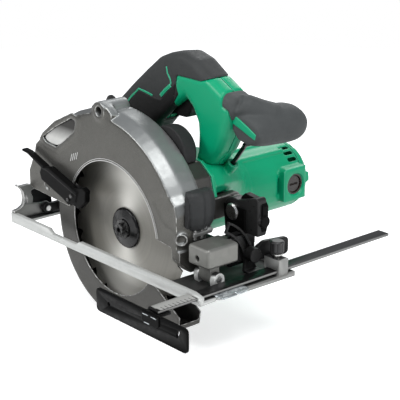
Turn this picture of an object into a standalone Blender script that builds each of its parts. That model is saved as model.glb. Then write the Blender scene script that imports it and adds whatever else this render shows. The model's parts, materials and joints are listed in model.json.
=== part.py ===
"""Corded circular saw with a 190 mm blade, built as an assembly of separate pieces.

Units are metres.  +X is the cutting direction, +Y points to the motor side and +Z up, and the
sole is the plane z = 0.  Every piece is drawn in the blade's frame, where x is 0 on the blade's
axis and y is 0 in the middle of the blade.  The empty "saw_frame" carries that frame to its
place beside the origin, which lies on the wide side of the sole, level with the blade's axis.
"""
import bpy
import bmesh
from math import acos, atan2, cos, degrees, pi, radians, sin, sqrt, tan
from mathutils import Matrix, Vector

# ---------------------------------------------------------------- driving dimensions
GAP = 0.0003                        # clearance between pieces that are fastened together
RUN = 0.0005                        # clearance between pieces that move on each other
BLADE_DIAMETER = 0.190
BLADE_THICKNESS = 0.0018
BLADE_BORE = 0.0159
BLADE_TEETH = 24
CUT_DEPTH = 0.068                   # depth of cut with the sole flat on the work
BLADE_OFFSET = 0.056                # from the blade's plane to the origin

SOLE_FRONT, SOLE_REAR = 0.1696, -0.1645
SOLE_NEAR, SOLE_FAR = -0.0435, 0.0886
SOLE_SHEET = 0.003
RAIL_HEIGHT, RAIL_WIDTH = 0.0115, 0.005
WINDOW_FRONT, WINDOW_REAR, WINDOW_FAR = 0.104, -0.150, 0.0275

TILT_Z = 0.0105                     # height of the bevel axis, which lies in the blade's plane
TILT_PIN_R = 0.0032
KNUCKLE_R = 0.0065
LUG_R = 0.0072
KNUCKLE_X = (0.1244, 0.1421)
DEPTH_X, DEPTH_Z = 0.113, 0.063     # depth pivot, at the front of the saw
DEPTH_PIN_R = 0.004
ARM_NEAR, ARM_FAR = 0.051, 0.063
ARM_R = 0.015

BAR_WIDTH, BAR_THICKNESS = 0.015, 0.003
BAR_X, BAR_Z = 0.157, 0.0065        # centre of the fence bar's section
BAR_NEAR, BAR_FAR = -0.0925, 0.240
FENCE_LENGTH, FENCE_HEIGHT, FENCE_SHEET = 0.140, 0.025, 0.003

QUADRANT_X, QUADRANT_SHEET = 0.134, 0.004
QUADRANT_R = 0.052
CLAMP_BOLT_R = 0.003
CLAMP_ANGLE = radians(15)

LOWER_GUARD_INNER_R = 0.071
LOWER_GUARD_WALL = 0.0018
RIM_CLEARANCE = 0.0064              # between the blade's teeth and the outside of the lower guard
NOSE_REACH = 0.039                  # how far the lower guard's nose reaches past the teeth
NOSE_STEP = 0.003                   # the nose's outer corner is taken off by this much
NOSE_FOOT = -79                     # where the straight run to the nose leaves the rim, in degrees
LOWER_NEAR, LOWER_FAR = -0.0194, 0.0108
UPPER_WALL = 0.0022
UPPER_NEAR, UPPER_BAND, UPPER_FAR = -0.0220, -0.0080, 0.0140
UPPER_R, UPPER_NEAR_R = 0.136, 0.1295
GUARD_FRONT = 0.113
OPENING_R = 0.0776
HUB_R = 0.0217

GEAR_MODULE = 0.001
GEAR_TEETH, PINION_TEETH = 40, 11
PRESSURE_ANGLE = radians(25)
GEAR_WIDTH = 0.010
GEAR_Y = 0.025
SHAFT_ANGLE = radians(56.5)         # of the motor's axis, seen from the blade's axis
COVER_BACK = 0.038                  # where the gear case meets the motor housing
MOTOR_R = 0.0395
SHOULDER_END = 0.128                # where the shoulder behind the gear case has narrowed to the barrel
SEAM_STEP = 0.0015
HOUSING_WALL = 0.0026
FLANGE = 0.0042
MOTOR_SEAM, MOTOR_END, TAIL_END = 0.134, 0.215, 0.229
BRUSH_Y = 0.199
TAIL_VENTS = 8
HANDLE_NEAR, HANDLE_FAR = 0.045, 0.080
GRIP_SKIN = 0.002
HANDLE_EDGE = 0.0085                # how far the handle's rounded rims reach in from its outline
HANDLE_WALL = 0.0026
TRIGGER_X, TRIGGER_Z = 0.040, 0.186
LINK_NEAR, LINK_FAR = 0.016, 0.019
KEY_FOOT, KEY_HEAD, KEY_Y, KEY_R = (0.0800, 0.0960), (0.1055, 0.1285), 0.0745, 0.0026
GRIP_NEAR = 0.0560                  # near end of the front grip
LINK_R = 0.184

# ---------------------------------------------------------------- derived places
BLADE_R = BLADE_DIAMETER / 2
AXIS_Z = BLADE_R - CUT_DEPTH
AXIS = (0.0, AXIS_Z)
DEPTH_PIVOT = (DEPTH_X, DEPTH_Z)
CASE_FRONT = DEPTH_X - 0.017        # front of the gear case, clear of the pivot arm
BEAM_BACK = CASE_FRONT - 0.012      # back of the beam that carries the depth pivot
LOWER_GUARD_R = BLADE_R + RIM_CLEARANCE
NOSE_R = BLADE_R + NOSE_REACH
NOSE_END = degrees(acos(LOWER_GUARD_R / (NOSE_R - NOSE_STEP))) + NOSE_FOOT
CENTRE_DISTANCE = GEAR_MODULE * (GEAR_TEETH + PINION_TEETH) / 2
MOTOR = (CENTRE_DISTANCE * cos(SHAFT_ANGLE), AXIS_Z + CENTRE_DISTANCE * sin(SHAFT_ANGLE))
HANDLE_MID = (HANDLE_NEAR + HANDLE_FAR) / 2
QUADRANT_FRONT = QUADRANT_X + QUADRANT_SHEET
BOLT_Y = QUADRANT_R * cos(CLAMP_ANGLE)
BOLT_Z = TILT_Z + QUADRANT_R * sin(CLAMP_ANGLE)
DEPTH_BOLT = (DEPTH_X - sqrt(LINK_R ** 2 - 0.0155 ** 2), DEPTH_Z - 0.0155)

COLOURS = {                     # colour, roughness, metallic
    "cast_grey": ((0.115, 0.113, 0.105), 0.45, 0.6),
    "bright_cast": ((0.62, 0.63, 0.60), 0.40, 0.8),
    "black_steel": ((0.012, 0.013, 0.012), 0.35, 0.5),
    "steel": ((0.50, 0.49, 0.46), 0.28, 1.0),
    "zinc": ((0.60, 0.62, 0.62), 0.25, 1.0),
    "green_shell": ((0.0, 0.33, 0.145), 0.35, 0.0),
    "black_plastic": ((0.020, 0.020, 0.020), 0.50, 0.0),
    "grey_rubber": ((0.085, 0.095, 0.092), 0.65, 0.0),
    "copper": ((0.60, 0.28, 0.14), 0.35, 1.0),
    "carbon": ((0.02, 0.02, 0.02), 0.60, 0.0),
    "clear": ((0.80, 0.82, 0.80), 0.10, 0.0),
}


# ---------------------------------------------------------------- modelling helpers
def clear_scene():
    for obj in list(bpy.data.objects):
        bpy.data.objects.remove(obj, do_unlink=True)


def new_collection(name):
    collection = bpy.data.collections.new(name)
    bpy.context.scene.collection.children.link(collection)
    return collection


clear_scene()
PARTS = new_collection("circular_saw")
TOOLS = new_collection("cutters")
MATERIALS = {}
BODIES = {}


def material(key):
    if key not in MATERIALS:
        colour, rough, metal = COLOURS[key]
        mat = bpy.data.materials.new(key)
        mat.use_nodes = True
        shader = mat.node_tree.nodes["Principled BSDF"]
        shader.inputs["Base Color"].default_value = (*colour, 1.0)
        shader.inputs["Roughness"].default_value = rough
        shader.inputs["Metallic"].default_value = metal
        MATERIALS[key] = mat
    return MATERIALS[key]


def body(name, pivot, parent):
    """An empty on the joint's axis; pivot is in the blade's frame."""
    empty = bpy.data.objects.new(name, None)
    PARTS.objects.link(empty)
    if parent is None:
        empty.location = (0, -BLADE_OFFSET, 0)
    else:
        empty.parent = BODIES[parent][0]
        empty.location = Vector(pivot) - BODIES[parent][1]
    BODIES[name] = (empty, Vector(pivot))


def keep(obj, body_name, key):
    """Make a shape a piece of the saw, carried by its body's empty."""
    empty, pivot = BODIES[body_name]
    for collection in list(obj.users_collection):
        collection.objects.unlink(obj)
    PARTS.objects.link(obj)
    obj.parent = empty
    obj.location = -pivot
    obj.hide_render = False
    obj.display_type = "TEXTURED"
    obj.data.materials.clear()
    obj.data.materials.append(material(key))
    obj.data.shade_smooth()
    obj.data.set_sharp_from_angle(angle=radians(35))
    return obj


def shape(name, mesh):
    """A shape starts life as a cutter; keep() turns it into a piece."""
    obj = bpy.data.objects.new(name, mesh)
    TOOLS.objects.link(obj)
    obj.parent = BODIES["saw_frame"][0]
    obj.hide_render = True
    obj.display_type = "WIRE"
    return obj


def from_bmesh(name, bm):
    bmesh.ops.recalc_face_normals(bm, faces=bm.faces[:])
    if bm.calc_volume(signed=True) < 0:
        bmesh.ops.reverse_faces(bm, faces=bm.faces[:])
    mesh = bpy.data.meshes.new(name)
    bm.to_mesh(mesh)
    bm.free()
    return shape(name, mesh)


def block(name, x, y, z):
    bm = bmesh.new()
    bmesh.ops.create_cube(bm, size=1.0)
    low, high = Vector((x[0], y[0], z[0])), Vector((x[1], y[1], z[1]))
    for vert in bm.verts:
        vert.co = Vector([(low[i] + high[i]) / 2 + vert.co[i] * (high[i] - low[i]) for i in range(3)])
    return from_bmesh(name, bm)


AXES = {                        # turns a shape drawn along local Z onto a frame axis
    "X": Matrix(((0, 0, 1), (1, 0, 0), (0, 1, 0))).to_4x4(),
    "Y": Matrix(((1, 0, 0), (0, 0, -1), (0, 1, 0))).to_4x4(),
    "Z": Matrix.Identity(4),
}


def placed(axis, centre, along):
    """Matrix that carries local (u, v, w) to the frame: u, v across the axis and w along it."""
    u, v = centre
    spot = {"X": (along, u, v), "Y": (u, along, v), "Z": (u, v, along)}[axis]
    return Matrix.Translation(spot) @ AXES[axis]


def rod(name, axis, centre, radius, span, sides=20, end_radius=None):
    bm = bmesh.new()
    tip = radius if end_radius is None else end_radius
    if axis == "Y":
        radius, tip = tip, radius
    bmesh.ops.create_cone(bm, cap_ends=True, segments=sides, radius1=radius, radius2=tip,
                          depth=span[1] - span[0])
    bm.transform(placed(axis, centre, (span[0] + span[1]) / 2))
    return from_bmesh(name, bm)


def prism(name, axis, outline, span, holes=()):
    """A flat outline with holes, filled and extruded along an axis."""
    curve = bpy.data.curves.new(name, "CURVE")
    curve.dimensions = "2D"
    curve.fill_mode = "BOTH"
    curve.extrude = (span[1] - span[0]) / 2
    for loop in (outline, *holes):
        spline = curve.splines.new("POLY")
        spline.points.add(len(loop) - 1)
        for point, (u, v) in zip(spline.points, loop):
            point.co = (u, v, 0, 1)
        spline.use_cyclic_u = True
    carrier = bpy.data.objects.new(name, curve)
    TOOLS.objects.link(carrier)
    mesh = bpy.data.meshes.new_from_object(carrier.evaluated_get(bpy.context.evaluated_depsgraph_get()))
    bpy.data.objects.remove(carrier)
    bm = bmesh.new()
    bm.from_mesh(mesh)
    bpy.data.meshes.remove(mesh)
    bmesh.ops.remove_doubles(bm, verts=bm.verts[:], dist=1e-6)
    bm.transform(placed(axis, (0, 0), (span[0] + span[1]) / 2))
    return from_bmesh(name, bm)


def turned(name, axis, centre, profile, sides=24):
    """A closed profile of (radius, along) points, revolved by a Screw modifier."""
    mesh = bpy.data.meshes.new(name)
    edges = [(i, (i + 1) % len(profile)) for i in range(len(profile))]
    if profile[0][0] == 0 and profile[-1][0] == 0:
        edges.pop()
    flip = -1 if axis == "Y" else 1
    mesh.from_pydata([(r, 0, flip * along) for r, along in profile], edges, [])
    carrier = bpy.data.objects.new(name, mesh)
    TOOLS.objects.link(carrier)
    screw = carrier.modifiers.new("Screw", "SCREW")
    screw.steps = screw.render_steps = sides
    screw.use_merge_vertices = True
    screw.merge_threshold = 1e-6
    result = bpy.data.meshes.new_from_object(carrier.evaluated_get(bpy.context.evaluated_depsgraph_get()))
    bpy.data.objects.remove(carrier)
    bm = bmesh.new()
    bm.from_mesh(result)
    bpy.data.meshes.remove(result)
    bm.transform(placed(axis, centre, 0))
    return from_bmesh(name, bm)


def loft(name, rings):
    """A skin through rings of equally many points, closed by a flat face at each end."""
    bm = bmesh.new()
    rows = [[bm.verts.new(point) for point in ring] for ring in rings]
    count = len(rows[0])
    for low, high in zip(rows, rows[1:]):
        for i in range(count):
            j = (i + 1) % count
            bm.faces.new((low[i], low[j], high[j], high[i]))
    bm.faces.new(rows[0])
    bm.faces.new(rows[-1])
    return from_bmesh(name, bm)


def carve(obj, tool, operation="DIFFERENCE"):
    modifier = obj.modifiers.new(operation.title() + "_" + tool.name[:40], "BOOLEAN")
    modifier.operation = operation
    modifier.solver = "EXACT"
    modifier.object = tool
    return obj


def fuse(obj, *tools):
    for tool in tools:
        carve(obj, tool, "UNION")
    return obj


def cut(obj, *tools):
    for tool in tools:
        carve(obj, tool)
    return obj


def soften(obj, width, segments=1, angle=40):
    bevel = obj.modifiers.new("Rounded_edges", "BEVEL")
    bevel.width = width
    bevel.segments = segments
    bevel.limit_method = "ANGLE"
    bevel.angle_limit = radians(angle)
    return obj


def arc(centre, radius, start, end, steps):
    """Points on an arc; the angles are in degrees, counted from +u towards +v."""
    span = [radians(start + (end - start) * i / steps) for i in range(steps + 1)]
    return [(centre[0] + radius * cos(a), centre[1] + radius * sin(a)) for a in span]


def ring_of(centre, radius, sides=32):
    return arc(centre, radius, 0, 360 - 360 / sides, sides - 1)


def stadium(a, b, radius, steps=6):
    """A slot or link outline: two round ends joined by straight flanks."""
    turn = atan2(b[1] - a[1], b[0] - a[0]) * 180 / pi
    return arc(a, radius, turn + 90, turn + 270, steps) + arc(b, radius, turn - 90, turn + 90, steps)


def band(centre, inner, outer, start, end, steps):
    """A piece of a flat ring between two angles in degrees."""
    return arc(centre, outer, start, end, steps) + arc(centre, inner, end, start, steps)


def rounded(points, radius, steps=3):
    """An outline with each corner rounded by an arc of about the given radius."""
    result = []
    count = len(points)
    for i, point in enumerate(points):
        here = Vector(point)
        back = Vector(points[i - 1]) - here
        ahead = Vector(points[(i + 1) % count]) - here
        reach = min(radius, 0.45 * back.length, 0.45 * ahead.length)
        start = here + back.normalized() * reach
        end = here + ahead.normalized() * reach
        for k in range(steps + 1):
            t = k / steps
            spot = start * (1 - t) ** 2 + here * 2 * t * (1 - t) + end * t ** 2
            result.append((spot.x, spot.y))
    return result


def inset(points, distance):
    """A closed outline moved inwards by a distance, or outwards by a negative one."""
    area = sum(a[0] * b[1] - b[0] * a[1] for a, b in zip(points, points[1:] + points[:1]))
    side = 1 if area > 0 else -1
    result = []
    for i, here in enumerate(points):
        before, after = points[i - 1], points[(i + 1) % len(points)]
        ahead = Vector((after[0] - here[0], after[1] - here[1])).normalized()
        back = Vector((here[0] - before[0], here[1] - before[1])).normalized()
        normal = Vector((-(ahead + back).y, (ahead + back).x)).normalized() * side
        reach = distance / max(normal.dot(Vector((-ahead.y, ahead.x)) * side), 0.5)
        result.append((here[0] + normal.x * reach, here[1] + normal.y * reach))
    return result


def ribbon(points, width):
    """The outline of a strip of constant width along an open line."""
    sides = ([], [])
    for i, here in enumerate(points):
        before, after = points[max(i - 1, 0)], points[min(i + 1, len(points) - 1)]
        along = Vector((after[0] - before[0], after[1] - before[1])).normalized() * width / 2
        sides[0].append((here[0] - along.y, here[1] + along.x))
        sides[1].append((here[0] + along.y, here[1] - along.x))
    return sides[0] + sides[1][::-1]


def pillow(name, outline, span, edge, steps=3):
    """An outline across Y, with its two rims rounded by an elliptical edge of (inset, depth)."""
    rings = []
    for k in range(steps + 1):
        angle = pi / 2 * k / steps
        rings.append((edge[0] * (1 - sin(angle)), edge[1] * (1 - cos(angle))))
    layers = [(off, span[0] + depth) for off, depth in rings]
    layers += [(off, span[1] - depth) for off, depth in reversed(rings)]
    return loft(name, [[(x, y, z) for x, z in inset(outline, off)] for off, y in layers])


def gear_outline(teeth, centre, first_tooth, play=0.00022):
    """An involute gear; play is what each tooth gives up in thickness for backlash."""
    pitch = GEAR_MODULE * teeth / 2
    base = pitch * cos(PRESSURE_ANGLE)
    tip, root = pitch + 0.85 * GEAR_MODULE, pitch - 1.25 * GEAR_MODULE
    low = max(base, root)
    half = pi / 2 / teeth - play / 2 / pitch + tan(PRESSURE_ANGLE) - PRESSURE_ANGLE
    flank = [(root, half)] if root < base else []
    for i in range(2):
        radius = low + (tip - low) * i
        roll = acos(base / radius)
        flank.append((radius, half - tan(roll) + roll))
    points = []
    for k in range(teeth):
        middle = first_tooth + 2 * pi * k / teeth
        points += [(r, middle - turn) for r, turn in flank]
        points += [(r, middle + turn) for r, turn in reversed(flank)]
    return [(centre[0] + r * cos(a), centre[1] + r * sin(a)) for r, a in points]


# ---------------------------------------------------------------- bodies and their joints' axes
body("saw_frame", (0, 0, 0), None)
body("base", (0, 0, 0), "saw_frame")
body("fence", (BAR_X, 0, BAR_Z), "base")
body("fence_clamp", (BAR_X + 0.001, 0.0715, 0.030), "base")
body("tilt_frame", (0, 0, TILT_Z), "base")
body("bevel_clamp", (QUADRANT_X, BOLT_Y, BOLT_Z), "tilt_frame")
body("saw_head", (DEPTH_X, HANDLE_MID, DEPTH_Z), "tilt_frame")
body("blade_drive", (0, 0, AXIS_Z), "saw_head")
body("armature", (MOTOR[0], BRUSH_Y, MOTOR[1]), "saw_head")
body("lower_guard_body", (0, 0, AXIS_Z), "saw_head")
body("trigger_body", (TRIGGER_X, HANDLE_MID, TRIGGER_Z), "saw_head")
body("depth_clamp", (DEPTH_BOLT[0], LINK_FAR, DEPTH_BOLT[1]), "saw_head")


# ---------------------------------------------------------------- base, fence and their clamp
def base_plate():
    front, rear, near, far = SOLE_FRONT, SOLE_REAR, SOLE_NEAR, SOLE_FAR
    outline = [(rear, near), (front, near), (front - 0.001, near + 0.021), (front - 0.003, near + 0.023),
               (front, near + 0.026), (front + 0.002, far - 0.004), (front - 0.002, far),
               (rear + 0.006, far), (rear, far - 0.006)]
    window = rounded([(WINDOW_REAR, near + RAIL_WIDTH), (WINDOW_FRONT, near + RAIL_WIDTH),
                      (WINDOW_FRONT, WINDOW_FAR), (WINDOW_REAR, WINDOW_FAR)], 0.004)
    plate = prism("base_plate", "Z", outline, (0, SOLE_SHEET), [window])
    top = RAIL_HEIGHT
    rail = prism("Near_rail", "Y", [(rear, 0), (front, 0), (front, 0.0088), (0.158, top), (-0.031, top),
                                    (-0.037, 0.007), (-0.083, 0.007), (-0.089, top), (rear, top)],
                 (near, near + RAIL_WIDTH))
    ribs = [block("Far_rib", (rear + 0.006, 0.140), (far - 0.004, far), (0.001, 0.0070)),
            block("Middle_rib", (-0.140, 0.112), (0.046, 0.049), (0.001, 0.0062)),
            block("Rear_rib", (rear, rear + 0.0035), (0.020, far - 0.006), (0.001, 0.0070)),
            block("Fence_boss", (0.146, 0.168), (0.065, 0.078), (0.001, 0.020))]
    lugs = [prism("Hinge_lug_rear", "X", stadium((0, TILT_Z), (0, LUG_R), LUG_R), (0.118, 0.1241)),
            prism("Hinge_lug_front", "X", stadium((0, TILT_Z), (0, LUG_R), LUG_R), (0.1424, 0.1485))]
    slot_x = (BAR_X - BAR_WIDTH / 2 - GAP, BAR_X + BAR_WIDTH / 2 + GAP)
    slot_z = (BAR_Z - BAR_THICKNESS / 2 - GAP, BAR_Z + BAR_THICKNESS / 2 + GAP)
    fuse(plate, rail, *ribs, *lugs)
    cut(plate, block("Fence_bar_slot", slot_x, (near - 0.002, far), slot_z),
        rod("Clamp_screw_hole", "Z", (BAR_X + 0.001, 0.0715), 0.0033, (BAR_Z, 0.022), 20),
        rod("Front_pin_hole", "X", (0, TILT_Z), TILT_PIN_R + GAP, (0.116, 0.150), 20))
    return keep(plate, "base", "bright_cast")


def rear_bracket():
    x = (SOLE_REAR + 0.0003, SOLE_REAR + 0.0062)
    strap = prism("Bracket_strap", "X", ribbon([(-0.043, 0.0132), (-0.0355, 0.0145), (-0.0290, 0.0185),
                                                (-0.0275, 0.0260), (-0.0285, 0.0350), (-0.0320, 0.0400),
                                                (-0.0370, 0.0440)], 0.0024), x)
    web = prism("rear_bracket", "X", [(-0.034, 0.0155), (-0.034, SOLE_SHEET + GAP), (0.012, SOLE_SHEET + GAP),
                                      (0.012, 0.0070), (0, 0.0170), (-0.0275, 0.0200)], x)
    boss = rod("Bracket_boss", "X", (0, TILT_Z), 0.0072, x)
    fuse(web, strap, boss)
    cut(web, rod("Rear_pin_hole", "X", (0, TILT_Z), TILT_PIN_R + GAP, (x[0] - 0.001, x[1] + 0.001), 20))
    return keep(web, "base", "bright_cast")


def hinge_pins():
    front = rod("front_pivot_pin", "X", (0, TILT_Z), TILT_PIN_R, (0.1160, 0.1490), 20)
    head = rod("Front_pin_head", "X", (0, TILT_Z), 0.0052, (0.1150, 0.1180 - GAP), 20)
    fuse(front, head)
    rear = rod("rear_pivot_pin", "X", (0, TILT_Z), TILT_PIN_R, (SOLE_REAR - 0.0008, SOLE_REAR + 0.0135), 20)
    fuse(rear, rod("Rear_pin_head", "X", (0, TILT_Z), 0.0052, (SOLE_REAR - 0.0030, SOLE_REAR), 20))
    keep(front, "base", "steel")
    keep(rear, "base", "steel")


def bevel_quadrant():
    centre = (0, TILT_Z)
    x = (QUADRANT_X, QUADRANT_FRONT)
    plate = prism("bevel_quadrant", "X", band(centre, QUADRANT_R - 0.0065, QUADRANT_R + 0.006, -6, 66, 12), x)
    foot = prism("Quadrant_foot", "X", [(0.0445, SOLE_SHEET + GAP), (0.0630, SOLE_SHEET + GAP),
                                        (0.0575, 0.016), (0.0455, 0.016)], x)
    flange = block("Quadrant_flange", (QUADRANT_X, QUADRANT_FRONT + 0.0075), (0.0445, 0.0630),
                   (SOLE_SHEET + GAP, SOLE_SHEET + 0.0028))
    slot = prism("Quadrant_slot", "X", band(centre, QUADRANT_R - CLAMP_BOLT_R - RUN,
                                            QUADRANT_R + CLAMP_BOLT_R + RUN, 10.5, 64, 10),
                 (x[0] - 0.001, x[1] + 0.001))
    cut(fuse(plate, foot, flange), slot)
    return keep(plate, "base", "black_steel")


def sight_plate():
    low = SOLE_SHEET + GAP
    outline = [(0.150, -0.021), (0.1755, -0.021), (0.1772, -0.019), (0.1772, -0.0015), (0.172, 0.0),
               (0.1772, 0.0015), (0.1765, 0.012), (0.172, 0.019), (0.150, 0.019)]
    return keep(prism("sight_plate", "Z", outline, (low, low + 0.0014)), "base", "zinc")


def fence():
    bar = block("fence_bar", (BAR_X - BAR_WIDTH / 2, BAR_X + BAR_WIDTH / 2), (BAR_NEAR, BAR_FAR),
                (BAR_Z - BAR_THICKNESS / 2, BAR_Z + BAR_THICKNESS / 2))
    keep(bar, "fence", "black_steel")
    top = BAR_Z - BAR_THICKNESS / 2 - GAP
    left, right, bottom = 0.070, 0.070 + FENCE_LENGTH, top - FENCE_HEIGHT
    outline = rounded([(left, bottom), (right, bottom), (right, top), (left, top)], 0.005)
    slot = stadium((right - 0.014, bottom + 0.014), (right - 0.012, bottom + 0.019), 0.0016, 4)
    plate = prism("fence_plate", "Y", outline, (BAR_NEAR - FENCE_SHEET, BAR_NEAR),
                  [ring_of((left + 0.021, bottom + 0.013), 0.0022, 12), slot])
    pad = block("Fence_tab", (BAR_X - 0.010, BAR_X + 0.010), (BAR_NEAR - FENCE_SHEET, BAR_NEAR + 0.014),
                (top - 0.0030, top))
    keep(fuse(plate, pad), "fence", "black_steel")


def fence_knob():
    centre = (BAR_X + 0.001, 0.0715)
    profile = [(0, 0.0385), (0.0060, 0.0385), (0.0076, 0.0372), (0.0076, 0.0265), (0.0062, 0.0250),
               (0.0062, 0.0228), (0.0030, 0.0228), (0.0030, BAR_Z + BAR_THICKNESS / 2 + GAP),
               (0, BAR_Z + BAR_THICKNESS / 2 + GAP)]
    knob = turned("fence_knob", "Z", centre, profile, 16)
    for k in range(8):
        angle = 2 * pi * k / 8
        spot = (centre[0] + 0.0079 * cos(angle), centre[1] + 0.0079 * sin(angle))
        cut(knob, rod("Knob_flute_%02d" % k, "Z", spot, 0.0012, (0.027, 0.0366), 6))
    return keep(knob, "fence_clamp", "black_plastic")


# ---------------------------------------------------------------- tilting frame
def hinge_bracket():
    box = block("hinge_bracket", (0.118, 0.150), (-0.016, 0.026), (0.024, 0.0455))
    soften(box, 0.0022, 1)
    neck = block("Hinge_neck", KNUCKLE_X, (-KNUCKLE_R, KNUCKLE_R), (TILT_Z, 0.026))
    knuckle = rod("Hinge_knuckle", "X", (0, TILT_Z), KNUCKLE_R, KNUCKLE_X)
    web = prism("Hinge_web", "X", [(0.010, 0.026), (0.040, 0.0150), (ARM_FAR, 0.0150), (ARM_FAR, 0.0437),
                                   (0.024, 0.0437)], (0.120, QUADRANT_X - GAP))
    fuse(box, neck, knuckle, web)
    cut(box, rod("Hinge_bore", "X", (0, TILT_Z), TILT_PIN_R + GAP, (0.12, 0.146), 20),
        rod("Bevel_bolt_hole", "X", (BOLT_Y, BOLT_Z), CLAMP_BOLT_R + GAP, (0.118, 0.136), 20),
        rod("Stop_screw_hole", "Y", (0.133, 0.033), 0.0030, (-0.018, -0.008), 12))
    return keep(box, "tilt_frame", "cast_grey")


def pivot_arm():
    outline = arc(DEPTH_PIVOT, ARM_R, 68, 250, 12) + [(0.120, 0.044), (0.150, 0.044), (0.150, 0.0830),
                                                      (0.147, 0.0850)]
    plate = prism("pivot_arm", "Y", outline, (ARM_NEAR, ARM_FAR))
    soften(plate, 0.0012, 1)
    boss = rod("Arm_boss", "X", (0.057, 0.060), 0.0055, (0.146, 0.153))
    fuse(plate, boss)
    cut(plate, rod("Arm_bore", "Y", DEPTH_PIVOT, DEPTH_PIN_R + GAP, (0.045, 0.070), 20),
        rod("Arm_boss_hole", "X", (0.057, 0.060), 0.0040, (0.150, 0.154), 16))
    return keep(plate, "tilt_frame", "black_steel")


def depth_pivot_pin():
    profile = [(0, 0.0795), (DEPTH_PIN_R, 0.0795), (DEPTH_PIN_R, ARM_NEAR - GAP), (0.0092, ARM_NEAR - GAP),
               (0.0092, 0.0490), (0.0075, 0.0475), (0, 0.0475)]
    return keep(turned("depth_pivot_pin", "Y", DEPTH_PIVOT, profile, 18), "tilt_frame", "steel")


def bevel_bolt():
    bolt = rod("bevel_bolt", "X", (BOLT_Y, BOLT_Z), CLAMP_BOLT_R, (0.1165, 0.1455), 20)
    head = rod("Bevel_bolt_head", "X", (BOLT_Y, BOLT_Z), 0.0058, (0.1160, 0.120 - GAP), 6)
    return keep(fuse(bolt, head), "tilt_frame", "steel")


def bevel_lever():
    spot = (BOLT_Y, BOLT_Z)
    start = QUADRANT_FRONT + GAP
    hub = rod("bevel_lever", "X", spot, 0.0080, (start, 0.1495), 24)
    wing = prism("Lever_wing", "X", rounded([(0.050, 0.0165), (0.078, 0.0155), (0.097, 0.0135), (0.101, 0.0160),
                                             (0.101, 0.0300), (0.098, 0.0325), (0.066, 0.0355),
                                             (0.056, 0.0315)], 0.002), (start + 0.0020, start + 0.0070))
    soften(wing, 0.0010, 1)
    fuse(hub, wing)
    cut(hub, rod("Lever_bore", "X", spot, CLAMP_BOLT_R + GAP, (start - 0.001, 0.146), 20))
    return keep(hub, "bevel_clamp", "black_plastic")


def depth_link():
    """A slotted strip, bent round the depth pivot, with a foot that reaches back to the rear hinge."""
    y = (LINK_NEAR, LINK_FAR)
    ends = [(DEPTH_X + LINK_R * cos(a), DEPTH_Z + LINK_R * sin(a)) for a in (radians(150.3), radians(194.5))]
    strip = prism("depth_link", "Y", band(DEPTH_PIVOT, LINK_R - 0.009, LINK_R + 0.009, 150.3, 194.5, 14), y)
    top = rod("Link_top", "Y", ends[0], 0.009, y, 24)
    foot = prism("Link_foot", "Y", [(ends[1][0] + 0.009, 0.0050), (ends[1][0] + 0.009, 0.0200),
                                    (-0.082, 0.0210), (-0.100, 0.0170), (-0.1577, 0.0160), (-0.1577, 0.0050)], y)
    cross = block("Link_cross", (-0.1577, -0.1520), (-0.001, LINK_FAR), (0.0052, 0.0158))
    knuckle = rod("Link_knuckle", "X", (0, TILT_Z), KNUCKLE_R, (-0.1577, -0.1520), 24)
    slot_ends = [(DEPTH_X + LINK_R * cos(a), DEPTH_Z + LINK_R * sin(a)) for a in (radians(151.0), radians(185.5))]
    slot = prism("Link_slot", "Y", band(DEPTH_PIVOT, LINK_R - 0.0035, LINK_R + 0.0035, 151.0, 185.5, 14),
                 (y[0] - 0.001, y[1] + 0.001))
    fuse(strip, top, foot, cross, knuckle)
    cut(strip, slot, *[rod("Link_slot_end_%d" % i, "Y", spot, 0.0035, (y[0] - 0.001, y[1] + 0.001), 16)
                       for i, spot in enumerate(slot_ends)])
    cut(strip, rod("Link_bore", "X", (0, TILT_Z), TILT_PIN_R + GAP, (-0.160, -0.150), 20))
    return keep(strip, "tilt_frame", "black_steel")


# ---------------------------------------------------------------- saw head: guards and gear case
def guard_rows(off):
    """The upper guard's full outline and its near face's outline, moved inwards by off."""
    centre = (-0.015, 0.022)
    front = GUARD_FRONT - off
    full = [(front - 0.002, 0.0200), (front, 0.0500), (front, 0.0770), (front - 0.003, 0.0855)]
    near = [(front - 0.006, 0.0240), (front - 0.0045, 0.0500), (front - 0.005, 0.0690), (front - 0.009, 0.0810)]
    full += arc(centre, UPPER_R - off, 30.5, 88, 12)
    near += arc(centre, UPPER_NEAR_R - off, 30.5, 88, 12)
    rear_full = [(-0.0240, 0.1585), (-0.0390, 0.1560), (-0.0720, 0.1450), (-0.0990, 0.1310),
                 (-0.1260, 0.1130), (-0.1430, 0.0970), (-0.1460, 0.0850), (-0.1576, 0.0610)]
    rear_near = [(-0.0220, 0.1530), (-0.0380, 0.1510), (-0.0700, 0.1410), (-0.0970, 0.1275),
                 (-0.1240, 0.1095), (-0.1405, 0.0950), (-0.1435, 0.0840), (-0.1560, 0.0605)]
    middle = Vector((-0.040, 0.060))
    for row, rear in ((full, rear_full), (near, rear_near)):
        for point in rear:
            inward = (middle - Vector(point)).normalized() * off
            row.append((point[0] + inward.x, point[1] + inward.y))
    low = 0.030 if off else 0
    full += [(-0.1575 + off, 0.0420 - low), (-0.1470 + off, 0.0390 - low), (-0.0800, 0.0350 - low)]
    near += [(-0.1555 + off, 0.0425 - low), (-0.1465 + off, 0.0400 - low), (-0.0800, 0.0360 - low)]
    if off:
        full[0], near[0] = (full[0][0], full[0][1] - low), (near[0][0], near[0][1] - low)
    return full, near


def guard_form(name, off, near_y, band_y, far_y):
    full, near = guard_rows(off)
    layers = [(near_y, near), (band_y, full), (far_y, full)]
    return loft(name, [[(x, y, z) for x, z in row] for y, row in layers])


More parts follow.
